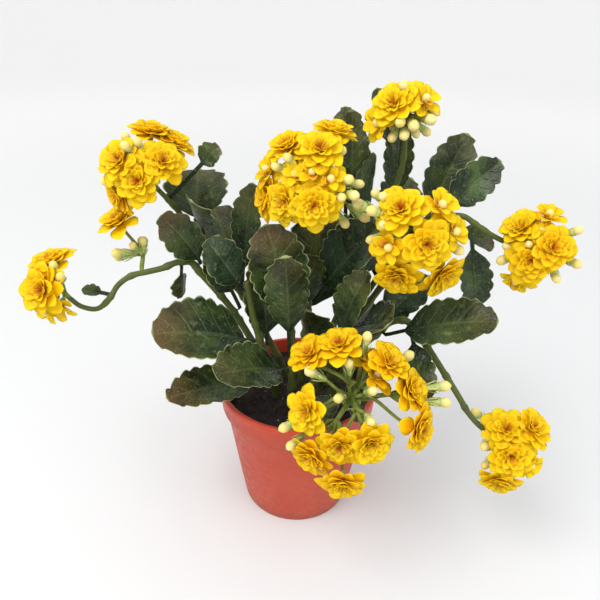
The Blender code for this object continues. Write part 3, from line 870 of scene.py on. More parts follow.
def leaf_finish(name, sizes, mottle, dryness, gloss):
    """Satin leaf, mottled green, with pale veins and margin, painted shade towards its foot, a browning tip
    and chalky specks.
    """
    material, tree, shader = new_finish(name, Specular_IOR_Level=gloss)
    along, across = kept_number(tree, "along"), kept_number(tree, "across")
    patches = placed_group(tree, mottle_group(), Scale=70.0, Detail=6.0, Low=0.38, High=0.64)
    fine = placed_group(tree, mottle_group(), Scale=620.0, Detail=5.0, Low=0.45, High=0.72)
    veins = placed_group(tree, vein_group(), Along=along, Across=across, Pairs=6.0, Sweep=0.22)
    specks = placed_group(tree, speck_group(), Scale=640.0, Size=0.19, Amount=0.30)
    base = blended(tree, patches["Mask"], sizes.deep, mottle)
    base = blended(tree, maths(tree, "MULTIPLY", fine["Mask"], 0.45), base, mottle)
    bloom = placed_group(tree, mottle_group(), Scale=190.0, Detail=7.0, Low=0.56, High=0.74)
    base = blended(tree, maths(tree, "MULTIPLY", bloom["Mask"], 0.28), base, sizes.margin)
    # Painted shade: the blade is darkened with the deep green towards its foot.
    base = blended(tree, ranged(tree, along, 0.0, 0.55, 0.7, 0.0), base, sizes.deep)
    tip = maths(tree, "MULTIPLY", ranged(tree, along, 0.45, 1.0), dryness)
    base = blended(tree, maths(tree, "MULTIPLY", tip, ranged(tree, patches["Height"], 0.35, 0.6, 0.5, 1.0)),
                   base, sizes.dry)
    base = blended(tree, maths(tree, "MULTIPLY", veins["Mask"], 0.10), base, sizes.margin)
    rim = ranged(tree, kept_number(tree, "margin"), 0.05, 0.65, 0.0, 0.95)
    base = blended(tree, rim, base, sizes.margin)
    base = blended(tree, maths(tree, "MULTIPLY", specks["Mask"], 0.60), base, sizes.margin)
    roughness = ranged(tree, fine["Height"], 0.3, 0.7, 0.24, 0.46)
    quilting = placed_group(tree, mottle_group(), Scale=210.0, Detail=3.0, Low=0.3, High=0.7)
    relief = maths(tree, "ADD", maths(tree, "MULTIPLY", fine["Height"], 0.25), quilting["Height"])
    relief = maths(tree, "SUBTRACT", relief, maths(tree, "MULTIPLY", veins["Mask"], 0.35))
    finish(tree, shader, base, roughness, relief, 0.0011, 0.75)
    return material


LEAF_COLUMNS = np.array((1.0, 0.94, 0.78, 0.5, 0.2, 0.07, 0.0, -0.07, -0.2, -0.5, -0.78, -0.94, -1.0))
UNDER_COLUMNS = np.array((-0.94, -0.7, -0.3, 0.0, 0.3, 0.7, 0.94))
BLADE_STATIONS = (0.0, 0.06, 0.16, 0.35, 0.58, 0.80, 0.92, 0.975, 1.0)
BLADE_SHARES = (0.12, 0.32, 0.68, 0.97, 1.0, 0.80, 0.52, 0.28, 0.0)


def leaf_skin(name, seed, sizes, stem_points):
    """A full leaf on a CAD leaf's own midrib: lobed margin, folded blade, grooved midrib."""
    rng = np.random.default_rng(seed)
    middles, half, across, up = leaf_gauge(name)
    nearest = stem_points[np.linalg.norm(stem_points - middles[0], axis=1).argmin()]
    foot = middles[0] + 0.75 * (nearest - middles[0])
    walked = stations_of(np.vstack((foot, middles)))
    blade_start, full = walked[2], walked[-1]
    blade = full - blade_start
    widest = half.max()
    stalk_half = 1.25 * MM
    wanted = np.concatenate((np.linspace(0.0, blade_start, 6)[:-1],
                             blade_start + blade * np.linspace(0.0, 1.0, 58)))
    s = np.clip((wanted - blade_start) / blade, 0.0, 1.0)
    beyond_foot = np.maximum(wanted, walked[1])
    line = smooth_between(walked[1:], middles, beyond_foot)
    line += (middles[0] - foot) * np.minimum(wanted / walked[1] - 1.0, 0.0)[:, None]
    aside = smooth_between(walked[1:], across, beyond_foot)
    aside /= np.linalg.norm(aside, axis=1)[:, None]
    lift = smooth_between(walked[1:], up, beyond_foot)
    lift /= np.linalg.norm(lift, axis=1)[:, None]
    ahead = np.gradient(line, wanted, axis=0)
    blade_half = widest * smooth_between(BLADE_STATIONS, BLADE_SHARES, s)
    least = stalk_half * np.clip((1.0 - s) * 12.0, 0.0, 1.0)
    width = np.where(s > 0, np.maximum(blade_half, least), stalk_half)
    lobes = max(3.0, round(blade / sizes.lobe_pitch))
    fade = np.clip((s - 0.16) / 0.16, 0.0, 1.0) * np.clip((1.0 - s) / 0.05, 0.0, 1.0)
    phases = (rng.uniform(0.0, 0.4), rng.uniform(0.4, 0.9))
    rings, along, far, margin = [], [], [], []
    columns = np.concatenate((LEAF_COLUMNS, UNDER_COLUMNS))
    on_top = np.arange(len(columns)) < len(LEAF_COLUMNS)
    wave_phase, waves = rng.uniform(0.0, math.tau), rng.uniform(1.6, 2.6)
    fold = rng.uniform(0.10, 0.24)
    size_factor = min(1.0, widest / (12.0 * MM))
    for index in range(len(wanted) - 1):
        side = np.where(columns > 0, phases[0], phases[1])
        lobe = np.abs(np.sin(math.pi * (lobes * s[index] + side)))
        notch = (1.0 - lobe) ** 2.4 * fade[index] * np.abs(columns) ** 4
        half_here = width[index] - sizes.lobe_depth * size_factor * notch
        reach = columns * half_here
        lean = np.sin(math.tau * (lobes * s[index] + side)) * fade[index] * np.abs(columns) ** 6
        forward = 0.35 * sizes.lobe_depth * size_factor * lean
        cup = fold * np.abs(reach) + 0.16 * reach ** 2 / widest
        ripple = sizes.ripple * size_factor * fade[index] * columns ** 2 * np.sin(
            wave_phase + waves * math.tau * s[index] + 1.7 * (columns > 0))
        body = 0.5 * sizes.thickness * np.sqrt(np.clip(1.0 - 0.96 * columns ** 2, 0.0, 1.0))
        body = body * np.interp(s[index], (0.0, 0.85, 1.0), (1.0, 0.85, 0.35))
        groove = sizes.groove * np.exp(-(columns / 0.11) ** 2) * min(1.0, s[index] * 6.0 + 0.2)
        groove *= 1 - s[index]
        rise = cup + ripple + np.where(on_top, body - groove, -body - 0.5 * groove)
        rings.append(line[index] + np.outer(reach, aside[index]) + np.outer(rise, lift[index])
                     + np.outer(forward, ahead[index]))
        along.append(np.full(len(columns), s[index]))
        far.append(columns)
        margin.append(np.where(np.abs(columns) > 0.99, 1.0, 0.0) * (s[index] > 0.02))
    margin[-1] = margin[-1] + 0.5
    skin = Skin()
    skin.loft(rings, None, line[-1] + 0.1 * widest * lift[-1], along=along, across=far, margin=margin)
    return skin


class KALANCHOE_OT_leaves(Operator):
    """Grow a lobed, fleshy leaf over every CAD leaf"""
    bl_idname = "kalanchoe.leaves"
    bl_label = "Leaves"

    def execute(self, context):
        sizes = context.scene.kalanchoe_leaves
        looks = {
            "green": leaf_finish("leaf_green", sizes, sizes.mid, 0.35, 0.30),
            "blue": leaf_finish("leaf_blue_green", sizes, sizes.blue, 0.15, 0.30),
            "brown": leaf_finish("leaf_browning", sizes, sizes.mid, 0.9, 0.30),
            "young": leaf_finish("leaf_young", sizes, sizes.young, 0.10, 0.35),
        }
        stem_points = np.vstack([smooth_between(stations_of(path), path, np.linspace(
            0.0, stations_of(path)[-1], 60)) for path in (stem_path(name)[0] for name in STEM_NODES)])
        for seed, name in enumerate(LEAF_NODES):
            kind = ("blue" if name in BLUE_LEAVES else "brown" if name in BROWN_LEAVES
                    else "young" if name in YOUNG_LEAVES else "green")
            skin = leaf_skin(name, 100 + seed, sizes, stem_points)
            settle_on_frame(new_piece(f"{name}_blade", skin.mesh(name), looks[kind]), "leaf_green", name)
        return {"FINISHED"}


# Flowers

def petal_finish(sizes):
    """Velvety yellow petals, deeper towards the base, with a dark eye and fine streaks."""
    material, tree, shader = new_finish("flower_yellow", Roughness=0.6, Specular_IOR_Level=0.18,
                                        Subsurface_Weight=0.35,
                                        Subsurface_Scale=4.0 * MM)
    shader.inputs["Subsurface Radius"].default_value = (1.0, 0.7, 0.1)
    along, across = kept_number(tree, "along"), kept_number(tree, "across")
    order, tone = kept_number(tree, "order"), kept_number(tree, "tone")
    streaks = placed_group(tree, streak_group(), Along=along, Across=across, Length=1.6, Count=7.0)
    base = blended(tree, maths(tree, "MULTIPLY", tone, 0.4), sizes.yellow, sizes.orange)
    base = blended(tree, ranged(tree, along, 0.1, 0.5, 0.5, 0.0), base, sizes.orange)
    base = blended(tree, maths(tree, "MULTIPLY", streaks["Mask"], 0.16), base, sizes.orange)
    centre = maths(tree, "MULTIPLY", ranged(tree, order, 0.9, 1.0), ranged(tree, along, 0.3, 0.95, 1.0, 0.35))
    base = blended(tree, centre, base, sizes.eye)
    finish(tree, shader, base, None, streaks["Mask"], 0.00012, 0.35)
    return material


def bud_finish(sizes):
    """Cream buds, green towards the calyx."""
    material, tree, shader = new_finish("flower_bud", Roughness=0.45, Specular_IOR_Level=0.4)
    along = kept_number(tree, "along")
    clouds = placed_group(tree, mottle_group(), Scale=260.0, Detail=4.0, Low=0.35, High=0.7)
    base = blended(tree, maths(tree, "MULTIPLY", clouds["Mask"], 0.45), sizes.cream, sizes.yellow)
    base = blended(tree, ranged(tree, along, 0.10, 0.85, 0.90, 0.0), base, sizes.calyx)
    finish(tree, shader, base, None, clouds["Height"], 0.0002, 0.3)
    return material


def calyx_finish(name, green):
    """Green stalks or calyces, paler where the mottling lifts them."""
    material, tree, shader = new_finish(name, Specular_IOR_Level=0.35)
    clouds = placed_group(tree, mottle_group(), Scale=150.0, Detail=4.0, Low=0.35, High=0.65)
    fine = placed_group(tree, mottle_group(), Scale=1100.0, Detail=4.0, Low=0.45, High=0.7)
    pale = tuple(min(1.0, part * 1.6) for part in green[:3]) + (1.0,)
    base = blended(tree, clouds["Mask"], green, pale)
    roughness = ranged(tree, fine["Height"], 0.3, 0.7, 0.42, 0.6)
    finish(tree, shader, base, roughness, fine["Height"], 0.0001, 0.3)
    return material


def petal_skin(width, curl, cup):
    """A petal one metre long that stands on the origin, its inner face to -X, for scaling down."""
    columns = np.array((1.0, 0.55, 0.0, -0.55, -1.0, -0.55, 0.0, 0.55))
    on_inner = np.arange(len(columns)) < 5
    heights = (0.0, 0.22, 0.44, 0.66, 0.84, 0.95)
    halves = np.interp(heights, (0.0, 0.2, 0.42, 0.64, 0.84, 0.95), (0.14, 0.26, 0.42, 0.5, 0.42, 0.20))
    rings, along, across = [], [], []
    for height, half in zip(heights, halves):
        reach = columns * half * width * 2.0
        bend = curl * height ** 2
        thick = np.where(on_inner, -0.016, 0.016) * np.sqrt(1.0 - 0.9 * columns ** 2)
        x = bend + thick - cup * reach ** 2 / width
        rings.append(np.column_stack((x, reach, np.full(len(columns), height))))
        along.append(np.full(len(columns), height))
        across.append(columns)
    skin = Skin()
    skin.loft(rings, None, (curl, 0.0, 1.0), along=along, across=across)
    return skin


def bud_skin(sides=10):
    """A plump, four-lobed bud one metre long on the origin, for scaling down."""
    turns = np.arange(sides) * math.tau / sides
    profile = ((0.02, 0.12), (0.16, 0.22), (0.38, 0.28), (0.60, 0.325), (0.80, 0.27), (0.93, 0.14))
    rings, along = [], []
    for height, radius in profile:
        lobed = radius * (1.0 + 0.05 * np.cos(4 * turns + 2.0 * height))
        rings.append(np.column_stack((lobed * np.cos(turns), lobed * np.sin(turns), np.full(sides, height))))
        along.append(np.full(sides, height))
    skin = Skin()
    skin.loft(rings, (0.0, 0.0, 0.0), (0.0, 0.0, 1.0), along=along)
    return skin


def calyx_skin(sepals=4, sides=8):
    """A calyx with a tube one metre tall under the origin and narrow sepals, for scaling down."""
    turns = np.arange(sides) * math.tau / sides
    skin = Skin()
    tube = ((-1.0, 0.13), (-0.86, 0.20), (-0.55, 0.19), (-0.2, 0.24), (0.04, 0.34))
    skin.loft([np.column_stack((radius * np.cos(turns), radius * np.sin(turns), np.full(sides, height)))
               for height, radius in tube])
    for sepal in range(sepals):
        turn = Matrix.Rotation(sepal * math.tau / sepals, 3, "Z")
        rings = []
        for out, height, half in ((0.13, -0.92, 0.10), (0.27, -0.60, 0.13), (0.37, -0.26, 0.10)):
            square = ((out - 0.02, half), (out + 0.035, 0.0), (out - 0.02, -half), (out - 0.045, 0.0))
            rings.append([tuple(turn @ Vector((x, -y, height))) for x, y in square])
        skin.loft(rings, None, tuple(turn @ Vector((0.44, 0.0, 0.04))))
    return skin


def point_value(tree, label, kind="FLOAT"):
    """A number or a vector that the points keep under a name."""
    reader = node(tree, "GeometryNodeInputNamedAttribute", {0: label}, data_type=kind)
    return next(out for out in reader.outputs if out.enabled and out.name == "Attribute")


def stood_up(tree):
    """The turn from +Z to each point's facing."""
    facing = point_value(tree, "facing", "FLOAT_VECTOR")
    return node(tree, "FunctionNodeAlignRotationToVector", {"Vector": facing}, axis="Z").outputs[0]


def turned(tree, rotation, axis, turn):
    """A rotation, then a turn about one of its own axes."""
    euler = node(tree, "ShaderNodeCombineXYZ", {axis: turn}).outputs[0]
    extra = node(tree, "FunctionNodeEulerToRotation", {0: euler}).outputs[0]
    return node(tree, "FunctionNodeRotateRotation", {0: rotation, 1: extra},
                rotation_space="LOCAL").outputs[0]


@kept_group("Petal spiral")
def spiral_tree(name):
    """Set petals round every flower in a golden-angle spiral, from the outermost in."""
    tree, given, result = new_group(
        name, "GeometryNodeTree",
        (("Flowers", "NodeSocketGeometry", None), ("Outer petal", "NodeSocketObject", None),
         ("Inner petal", "NodeSocketObject", None), ("Petals", "NodeSocketInt", 26),
         ("Outer tilt", "NodeSocketFloat", 1.3), ("Inner tilt", "NodeSocketFloat", 0.2),
         ("Inner size", "NodeSocketFloat", 0.5), ("Climb", "NodeSocketFloat", 0.1),
         ("Looseness", "NodeSocketFloat", 0.12), ("Seed", "NodeSocketInt", 1),
         ("Finish", "NodeSocketMaterial", None)),
        (("Geometry", "NodeSocketGeometry"),))

    def chance(low, high, seed):
        number = node(tree, "FunctionNodeRandomValue", {2: low, 3: high}, data_type="FLOAT")
        tree.links.new(maths(tree, "ADD", given["Seed"], seed), number.inputs["Seed"])
        return number.outputs[1]

    copies = node(tree, "GeometryNodeDuplicateElements", {"Geometry": given["Flowers"],
                                                          "Amount": given["Petals"]}, domain="POINT")
    number = copies.outputs["Duplicate Index"]
    order = maths(tree, "DIVIDE", number, maths(tree, "SUBTRACT", given["Petals"], 1.0))
    marked = copies.outputs["Geometry"]
    for label, value in (("petal", number), ("order", order)):
        marked = node(tree, "GeometryNodeStoreNamedAttribute", {
            "Geometry": marked, "Name": label, "Value": value}, data_type="FLOAT", domain="POINT").outputs[0]
    order, size = point_value(tree, "order"), point_value(tree, "size")
    rise = maths(tree, "MULTIPLY", maths(tree, "MULTIPLY", order, given["Climb"]), size)
    climb = node(tree, "ShaderNodeVectorMath", {
        0: point_value(tree, "facing", "FLOAT_VECTOR"), "Scale": rise}, operation="SCALE").outputs[0]
    raised = node(tree, "GeometryNodeSetPosition", {"Geometry": marked, "Offset": climb}).outputs[0]
    spin = maths(tree, "ADD", maths(tree, "MULTIPLY", point_value(tree, "petal"), GOLDEN_ANGLE),
                 point_value(tree, "spin"))
    spread = maths(tree, "POWER", order, 0.8)
    rest = maths(tree, "SUBTRACT", given["Inner tilt"], given["Outer tilt"])
    tilt = maths(tree, "ADD", given["Outer tilt"], maths(tree, "MULTIPLY", spread, rest))
    loose = maths(tree, "MULTIPLY", given["Looseness"], chance(-1.0, 1.0, 11))
    tilt = maths(tree, "ADD", tilt, loose)
    spin = maths(tree, "ADD", spin, maths(tree, "MULTIPLY", given["Looseness"], chance(-1.2, 1.2, 23)))
    placed = turned(tree, turned(tree, stood_up(tree), 2, spin), 1, tilt)
    shrink = maths(tree, "MULTIPLY", order, maths(tree, "SUBTRACT", given["Inner size"], 1.0))
    shrink = maths(tree, "ADD", 1.0, shrink)
    scale = maths(tree, "MULTIPLY", maths(tree, "MULTIPLY", size, shrink), chance(0.93, 1.05, 37))
    inner = maths(tree, "GREATER_THAN", order, 0.5)
    both = node(tree, "GeometryNodeJoinGeometry")
    for petal, chosen in (("Inner petal", inner), ("Outer petal", maths(tree, "SUBTRACT", 1.0, inner))):
        shape = node(tree, "GeometryNodeObjectInfo", {"Object": given[petal]}).outputs["Geometry"]
        ring = node(tree, "GeometryNodeInstanceOnPoints", {
            "Points": raised, "Selection": chosen, "Instance": shape, "Rotation": placed, "Scale": scale})
        tree.links.new(ring.outputs[0], both.inputs[0])
    dress(tree, both.outputs[0], given["Finish"], result["Geometry"])
    return tree


@kept_group("Stand on points")
def stand_tree(name):
    """Stand one thing on every point, turned to its facing and scaled to its size."""
    tree, given, result = new_group(
        name, "GeometryNodeTree",
        (("Points", "NodeSocketGeometry", None), ("Thing", "NodeSocketObject", None),
         ("Finish", "NodeSocketMaterial", None)),
        (("Geometry", "NodeSocketGeometry"),))
    placed = turned(tree, stood_up(tree), 2, point_value(tree, "spin"))
    shape = node(tree, "GeometryNodeObjectInfo", {"Object": given["Thing"]}).outputs["Geometry"]
    ring = node(tree, "GeometryNodeInstanceOnPoints", {
        "Points": given["Points"], "Instance": shape, "Rotation": placed,
        "Scale": point_value(tree, "size")})
    dress(tree, ring.outputs[0], given["Finish"], result["Geometry"])
    return tree


def marked_points(name, places):
    """A piece of bare points, each with its facing, size, spin and tone."""
    mesh = bpy.data.meshes.new(name)
    mesh.from_pydata([tuple(place[0]) for place in places], [], [])
    facing = np.array([tuple(place[1]) for place in places], np.float32).reshape(-1)
    mesh.attributes.new("facing", "FLOAT_VECTOR", "POINT").data.foreach_set("vector", facing)
    for at, label in ((2, "size"), (3, "spin"), (4, "tone")):
        keep_numbers(mesh, label, [place[at] for place in places])
    return new_piece(name, mesh)


def stalk_line(start, start_heading, end, end_heading, count=9):
    """Points on a bow from one point and heading to another."""
    reach = (end - start).length
    first, last = start + 0.42 * reach * start_heading, end - 0.38 * reach * end_heading
    points = []
    for step in range(count):
        t = step / (count - 1)
        points.append((1 - t) ** 3 * start + 3 * t * (1 - t) ** 2 * first + 3 * t ** 2 * (1 - t) * last
                      + t ** 3 * end)
    return points


PETAL_SINK = {"open": 4.2 * MM, "half": 5.2 * MM}  # from a flower's face down to its petals' foot
CALYX_TUBE = 5.2 * MM
YOUNG_SIZE = 0.9  # length of a young bud against that of a grown one
YOUNG_REACH = (0.50, 0.36)  # nearest young bud and the range beyond it, against a usual bloom's reach
SPRAY_DIRECTIONS = 60  # directions tried for young buds
STALK_START = {"tip": 0.98, "side": 0.7}  # thickness of a spray's stalk against its stem's
BUD_CLEARANCE = math.radians(27.0)  # least angle between a young bud and any other bloom
BRANCH_SPREAD = math.radians(48.0)  # widest angle between blooms that share a branch


class KALANCHOE_OT_flowers(Operator):
    """Open double flowers, half-open flowers and buds on bowed stalks over every CAD spray"""
    bl_idname = "kalanchoe.flowers"
    bl_label = "Flowers"

    def execute(self, context):
        sizes = context.scene.kalanchoe_flowers
        looks = {"petal": petal_finish(sizes), "bud": bud_finish(sizes),
                 "calyx": calyx_finish("flower_calyx", sizes.calyx),
                 "bract": calyx_finish("flower_stalk", sizes.green)}
        shapes = {label: new_piece(f"shape_{label}", skin.mesh(label)) for label, skin in (
            ("outer", petal_skin(0.33, 0.08, 0.35)), ("inner", petal_skin(0.30, 0.02, 0.6)),
            ("bud", bud_skin()), ("calyx", calyx_skin()), ("bract", petal_skin(0.26, 0.20, 0.9)))}
        paths = {name: stem_path(name) for name in STEM_NODES}
        for seed, (name, (fork, blooms)) in enumerate(SPRAYS.items()):
            self.build_spray(name, seed, Vector(fork) * MM, blooms, sizes, shapes, paths, looks)
        for shape in shapes.values():
            bpy.data.objects.remove(shape, do_unlink=True)
        return {"FINISHED"}

    def build_spray(self, name, seed, fork, blooms, sizes, shapes, paths, looks):
        rng = np.random.default_rng(40 + seed)
        low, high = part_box(name)
        middle = 0.5 * (low + high)
        if any(abs(fork[axis] - middle[axis]) > 0.5 * (high - low)[axis] + MM for axis in range(3)):
            raise RuntimeError(f"{name}: its fork lies outside the CAD spray")
        start, growing, thick = self.root_of(fork, paths)
        stalks = Skin()
        stub = stalk_line(start, growing, fork, (fork - start).normalized(), 7)
        stalks.tube(stub, np.linspace(thick, max(1.3 * MM, 0.8 * thick), len(stub)), 10)
        grow = (fork - start).normalized()
        points = {"open": [], "half": [], "bud": [], "calyx": [], "bract": []}
        ends = []
        blooms = dict(blooms)
        blooms["young"] = self.gaps(blooms, sizes.fillers)
        for kind, places in blooms.items():
            for azimuth, rise, reach in places:
                outward = heading_of(azimuth, rise)
                face = fork + reach * MM * outward
                if kind in ("open", "half"):
                    outward = (outward + sizes.to_light * TO_LIGHT).normalized()
                spin, tone = rng.uniform(0.0, math.tau), rng.uniform(0.0, 1.0) ** 2
                if kind in ("bud", "young"):
                    bud = sizes.bud * rng.uniform(0.85, 1.08) * (1.0 if kind == "bud" else YOUNG_SIZE)
                    foot = face - 0.46 * bud * outward
                    points["bud"].append((foot, outward, bud, spin, tone))
                    points["calyx"].append((foot + 0.30 * bud * outward, outward, 0.92 * bud, spin, tone))
                    foot = foot - 0.5 * bud * outward
                else:
                    petal = {"open": sizes.petal, "half": sizes.half_petal}[kind] * rng.uniform(0.95, 1.04)
                    foot = face - PETAL_SINK[kind] * outward
                    points[kind].append((foot, outward, petal, spin, tone))
                    if kind == "half":
                        points["bud"].append((foot, outward, 0.8 * sizes.bud, spin, tone))
                    foot = foot + 0.4 * MM * outward
                    points["calyx"].append((foot, outward, CALYX_TUBE, spin, tone))
                    foot = foot - 4.4 * MM * outward
                ends.append((foot, outward))
        for branch in self.branches(ends):
            spread = sum((outward for foot, outward in branch), Vector()).normalized()
            nearest = min((foot - fork).length for foot, outward in branch)
            joint = fork + spread * nearest * (0.5 if len(branch) > 1 else 0.02)
            if len(branch) > 1:
                line = stalk_line(fork, (grow * 0.7 + spread).normalized(), joint, spread, 6)
                stalks.tube(line, np.linspace(1.5, 1.25, len(line)) * sizes.stalk, 8)
            leaflet = min(0.6 * sizes.bract, 0.5 * nearest)
            for side in (-1.0, 1.0):
                lean = (spread + side * 0.8 * spread.cross(Vector((0.3, 0.2, 1.0))).normalized()).normalized()
                points["bract"].append((joint, lean, leaflet * rng.uniform(0.8, 1.0),
                                        rng.uniform(0.0, math.tau), 0.0))
            for foot, outward in branch:
                line = stalk_line(joint, spread, foot, outward)
                stalks.tube(line, np.linspace(1.2, 0.9, len(line)) * sizes.stalk, 7)
        parts = [new_piece(name + "_sprig", stalks.mesh(name), looks["bract"])]
        for kind, count, inner_tilt, inner_size, climb, looseness, chance in (
                ("open", sizes.petals, sizes.inner_tilt, 0.42, 0.12, 0.13, seed),
                ("half", sizes.half_petals, sizes.half_tilt, 0.7, 0.10, 0.10, seed + 50)):
            if points[kind]:
                parts.append(grown(marked_points(f"{name}_{kind}", points[kind]), spiral_tree(),
                                   Outer_petal=shapes["outer"], Inner_petal=shapes["inner"],
                                   Petals=count, Outer_tilt=sizes.outer_tilt, Inner_tilt=inner_tilt,
                                   Inner_size=inner_size, Climb=climb, Looseness=looseness,
                                   Seed=chance, Finish=looks["petal"]))
        bract = min(sizes.bract, 0.7 * min((foot - fork).length for foot, outward in ends))
        for step in range(sizes.bracts):
            turn = Matrix.Rotation(step * GOLDEN_ANGLE, 3, grow) @ grow.orthogonal().normalized()
            lean = (turn + rng.uniform(0.2, 1.0) * grow).normalized()
            points["bract"].append((fork, lean, bract * rng.uniform(0.75, 1.0),
                                    rng.uniform(0.0, math.tau), 0.0))
        for kind in ("bud", "calyx", "bract"):
            if points[kind]:
                parts.append(grown(marked_points(f"{name}_{kind}", points[kind]), stand_tree(),
                                   Thing=shapes[kind], Finish=looks[kind]))
        settle_on_frame(joined(f"{name}_spray", parts), "flower_yellow", name)

    def gaps(self, blooms, wanted):
        """Azimuth, rise and reach of young buds in the directions where a spray has no bloom."""
        taken = [(heading_of(azimuth, rise), reach) for places in blooms.values()
                 for azimuth, rise, reach in places]
        blooming = len(taken)
        middle = sum((outward for outward, reach in taken), Vector()).normalized()
        usual = sorted(reach for outward, reach in taken)[len(taken) // 2]
        found = []
        for step in range(SPRAY_DIRECTIONS):
            rise = math.degrees(math.asin(1.0 - 2.0 * (step + 0.5) / SPRAY_DIRECTIONS))
            azimuth = math.degrees(step * GOLDEN_ANGLE) % 360.0
            outward = heading_of(azimuth, rise)
            clear = all(outward.angle(other) > BUD_CLEARANCE for other, reach in taken)
            if clear and outward.dot(middle) > -0.1 and len(found) < min(wanted, blooming):
                reach = usual * (YOUNG_REACH[0] + YOUNG_REACH[1] * (step % 3) / 2)
                taken.append((outward, reach))
                found.append((azimuth, rise, reach))
        return found

    def branches(self, ends):
        """Gather the blooms that lie the same way, at most three to a branch."""
        waiting, gathered = list(ends), []
        while waiting:
            lead = waiting.pop(0)
            near = sorted((other for other in waiting if other[1].angle(lead[1]) < BRANCH_SPREAD),
                          key=lambda other: other[1].angle(lead[1]))[:2]
            waiting = [other for other in waiting if all(other is not mate for mate in near)]
            gathered.append([lead, *near])
        return gathered

    def root_of(self, fork, paths):
        """Where a spray's own stalk starts on the nearest stem, its heading and its thickness."""
        nearest = None
        for centres, radii in paths.values():
            away = np.linalg.norm(centres - np.array(fork), axis=1)
            at = int(away.argmin())
            if nearest is None or away[at] < nearest[0]:
                before, after = centres[max(at - 1, 0)], centres[min(at + 1, len(centres) - 1)]
                place = "tip" if at == len(centres) - 1 else "side"
                nearest = (away[at], Vector(centres[at]), Vector(after - before).normalized(),
                           radii[at] * STALK_START[place])
        return nearest[1:]


# Studio, in metres

BACKDROP_SIDES = 96
FLAT_RINGS = (0.3, 0.8, 1.6)
DISH_START, DISH_CURVE = 2.5, 1.5  # where the floor starts to rise, and the radius it rises by
DISH_EDGE = (4.02, 2.6)  # radius and height of the backdrop's top edge
FLOOR_FADE = (0.35, 1.8)  # distances over which the floor turns from the near to the far colour
LIGHT_WIDTH = 0.9
LIGHT_TARGET = (0.0, 0.0, 0.15)


def pale_floor(settings):
    """Matt, near-white floor, paler far off, where less light falls on it."""
    material, tree, shader = new_finish("studio_floor", Roughness=0.9, Specular_IOR_Level=0.2)
    away = node(tree, "ShaderNodeVectorMath", {0: object_place(tree)}, operation="LENGTH").outputs["Value"]
    finish(tree, shader, blended(tree, ranged(tree, away, *FLOOR_FADE), settings.floor,
                                 settings.far_floor))
    return material


def soft_light(name, place, width, power, tint):
    """A round lamp that faces the plant."""
    lamp = bpy.data.lights.new(name, "AREA")
    lamp.shape, lamp.size, lamp.energy, lamp.color = "DISK", width, power, tint
    light = bpy.data.objects.new(name, lamp)
    light.location = place
    light.rotation_euler = (Vector(LIGHT_TARGET) - Vector(place)).to_track_quat("-Z", "Y").to_euler()
    bpy.context.scene.collection.objects.link(light)


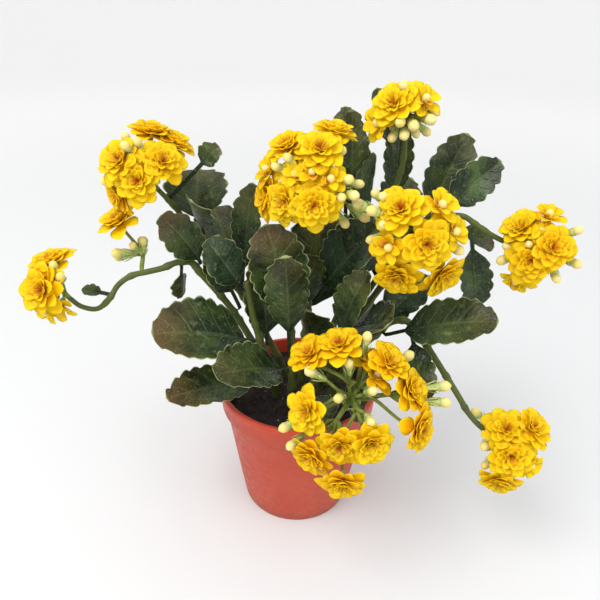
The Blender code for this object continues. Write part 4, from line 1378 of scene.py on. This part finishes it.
class KALANCHOE_OT_studio(Operator):
    """Set up the floor, the soft light and the camera"""
    bl_idname = "kalanchoe.studio"
    bl_label = "Studio"

    def execute(self, context):
        settings, scene = context.scene.kalanchoe_studio, context.scene
        turns = np.arange(BACKDROP_SIDES) * math.tau / BACKDROP_SIDES
        arc = np.linspace(0.0, math.pi / 2, 14)
        radii = np.concatenate((FLAT_RINGS, DISH_START + DISH_CURVE * np.sin(arc), DISH_EDGE[:1]))
        heights = np.concatenate((np.zeros(len(FLAT_RINGS)), DISH_CURVE - DISH_CURVE * np.cos(arc),
                                  DISH_EDGE[1:]))
        corners = [(0.0, 0.0, 0.0)] + [(radius * math.cos(turn), radius * math.sin(turn), height)
                                       for radius, height in zip(radii, heights) for turn in turns]
        steps = len(turns)
        faces = [(0, 1 + side, 1 + (side + 1) % steps) for side in range(steps)]
        for ring in range(len(radii) - 1):
            near, far = 1 + ring * steps, 1 + (ring + 1) * steps
            faces.extend((near + side, far + side, far + (side + 1) % steps, near + (side + 1) % steps)
                         for side in range(steps))
        mesh = bpy.data.meshes.new("studio_floor")
        mesh.from_pydata(corners, [], faces)
        mesh.shade_smooth()
        floor = new_piece("studio_floor", mesh, pale_floor(settings))
        world = bpy.data.worlds.new("studio")
        world.use_nodes = True
        sky = world.node_tree.nodes["Background"]
        sky.inputs["Color"].default_value = (1.0, 1.0, 1.0, 1.0)
        sky.inputs["Strength"].default_value = settings.sky
        scene.world = world
        scene.view_settings.view_transform = "Standard"
        soft_light("key", (-0.55, -0.55, 1.25), LIGHT_WIDTH, settings.key, (1.0, 0.98, 0.95))
        soft_light("fill", (0.95, -0.6, 0.7), LIGHT_WIDTH, settings.fill, (0.96, 0.98, 1.0))
        lens = bpy.data.cameras.new("camera")
        lens.lens, lens.sensor_width = settings.lens, 36.0
        lens.clip_start, lens.clip_end = 0.01, 400.0
        camera = bpy.data.objects.new("camera", lens)
        scene.collection.objects.link(camera)
        down, roll = settings.down, settings.roll
        ahead = Vector((0.0, math.cos(down), -math.sin(down)))
        right = Vector((1.0, 0.0, 0.0))
        above = right.cross(ahead)
        x_axis = math.cos(roll) * right + math.sin(roll) * above
        y_axis = -math.sin(roll) * right + math.cos(roll) * above
        turn = Matrix((x_axis, y_axis, -ahead)).transposed().to_4x4()
        camera.matrix_world = Matrix.Translation(settings.camera_place) @ turn
        scene.camera = camera
        return {"FINISHED"}


class KALANCHOE_PT_panel(Panel):
    """Lists the pieces of the plant and the sizes each is made from"""
    bl_idname = "KALANCHOE_PT_panel"
    bl_label = "Potted Kalanchoe"
    bl_space_type = "VIEW_3D"
    bl_region_type = "UI"
    bl_category = "Kalanchoe"

    def draw(self, context):
        for owner, operator in (("pot", KALANCHOE_OT_pot), ("soil", KALANCHOE_OT_soil),
                                ("stems", KALANCHOE_OT_stems), ("leaves", KALANCHOE_OT_leaves),
                                ("flowers", KALANCHOE_OT_flowers), ("studio", KALANCHOE_OT_studio)):
            box = self.layout.box()
            box.operator(operator.bl_idname)
            settings = getattr(context.scene, f"kalanchoe_{owner}")
            for setting in settings.__annotations__:
                box.prop(settings, setting)


SETTINGS = {"pot": PotSizes, "soil": SoilSizes, "stems": StemSizes, "leaves": LeafSizes,
            "flowers": FlowerSizes, "studio": StudioSettings}
CLASSES = (*SETTINGS.values(), KALANCHOE_OT_pot, KALANCHOE_OT_soil, KALANCHOE_OT_stems,
           KALANCHOE_OT_leaves, KALANCHOE_OT_flowers, KALANCHOE_OT_studio, KALANCHOE_PT_panel)


def register():
    for thing in CLASSES:
        bpy.utils.register_class(thing)
    for owner, kind in SETTINGS.items():
        setattr(bpy.types.Scene, f"kalanchoe_{owner}", PointerProperty(type=kind))


def unregister():
    for owner in SETTINGS:
        delattr(bpy.types.Scene, f"kalanchoe_{owner}")
    for thing in reversed(CLASSES):
        bpy.utils.unregister_class(thing)


def main():
    register()
    bpy.ops.kalanchoe.studio()
    bpy.ops.kalanchoe.pot()
    bpy.ops.kalanchoe.soil()
    bpy.ops.kalanchoe.stems()
    bpy.ops.kalanchoe.leaves()
    bpy.ops.kalanchoe.flowers()


if __name__ == "__main__":
    main()
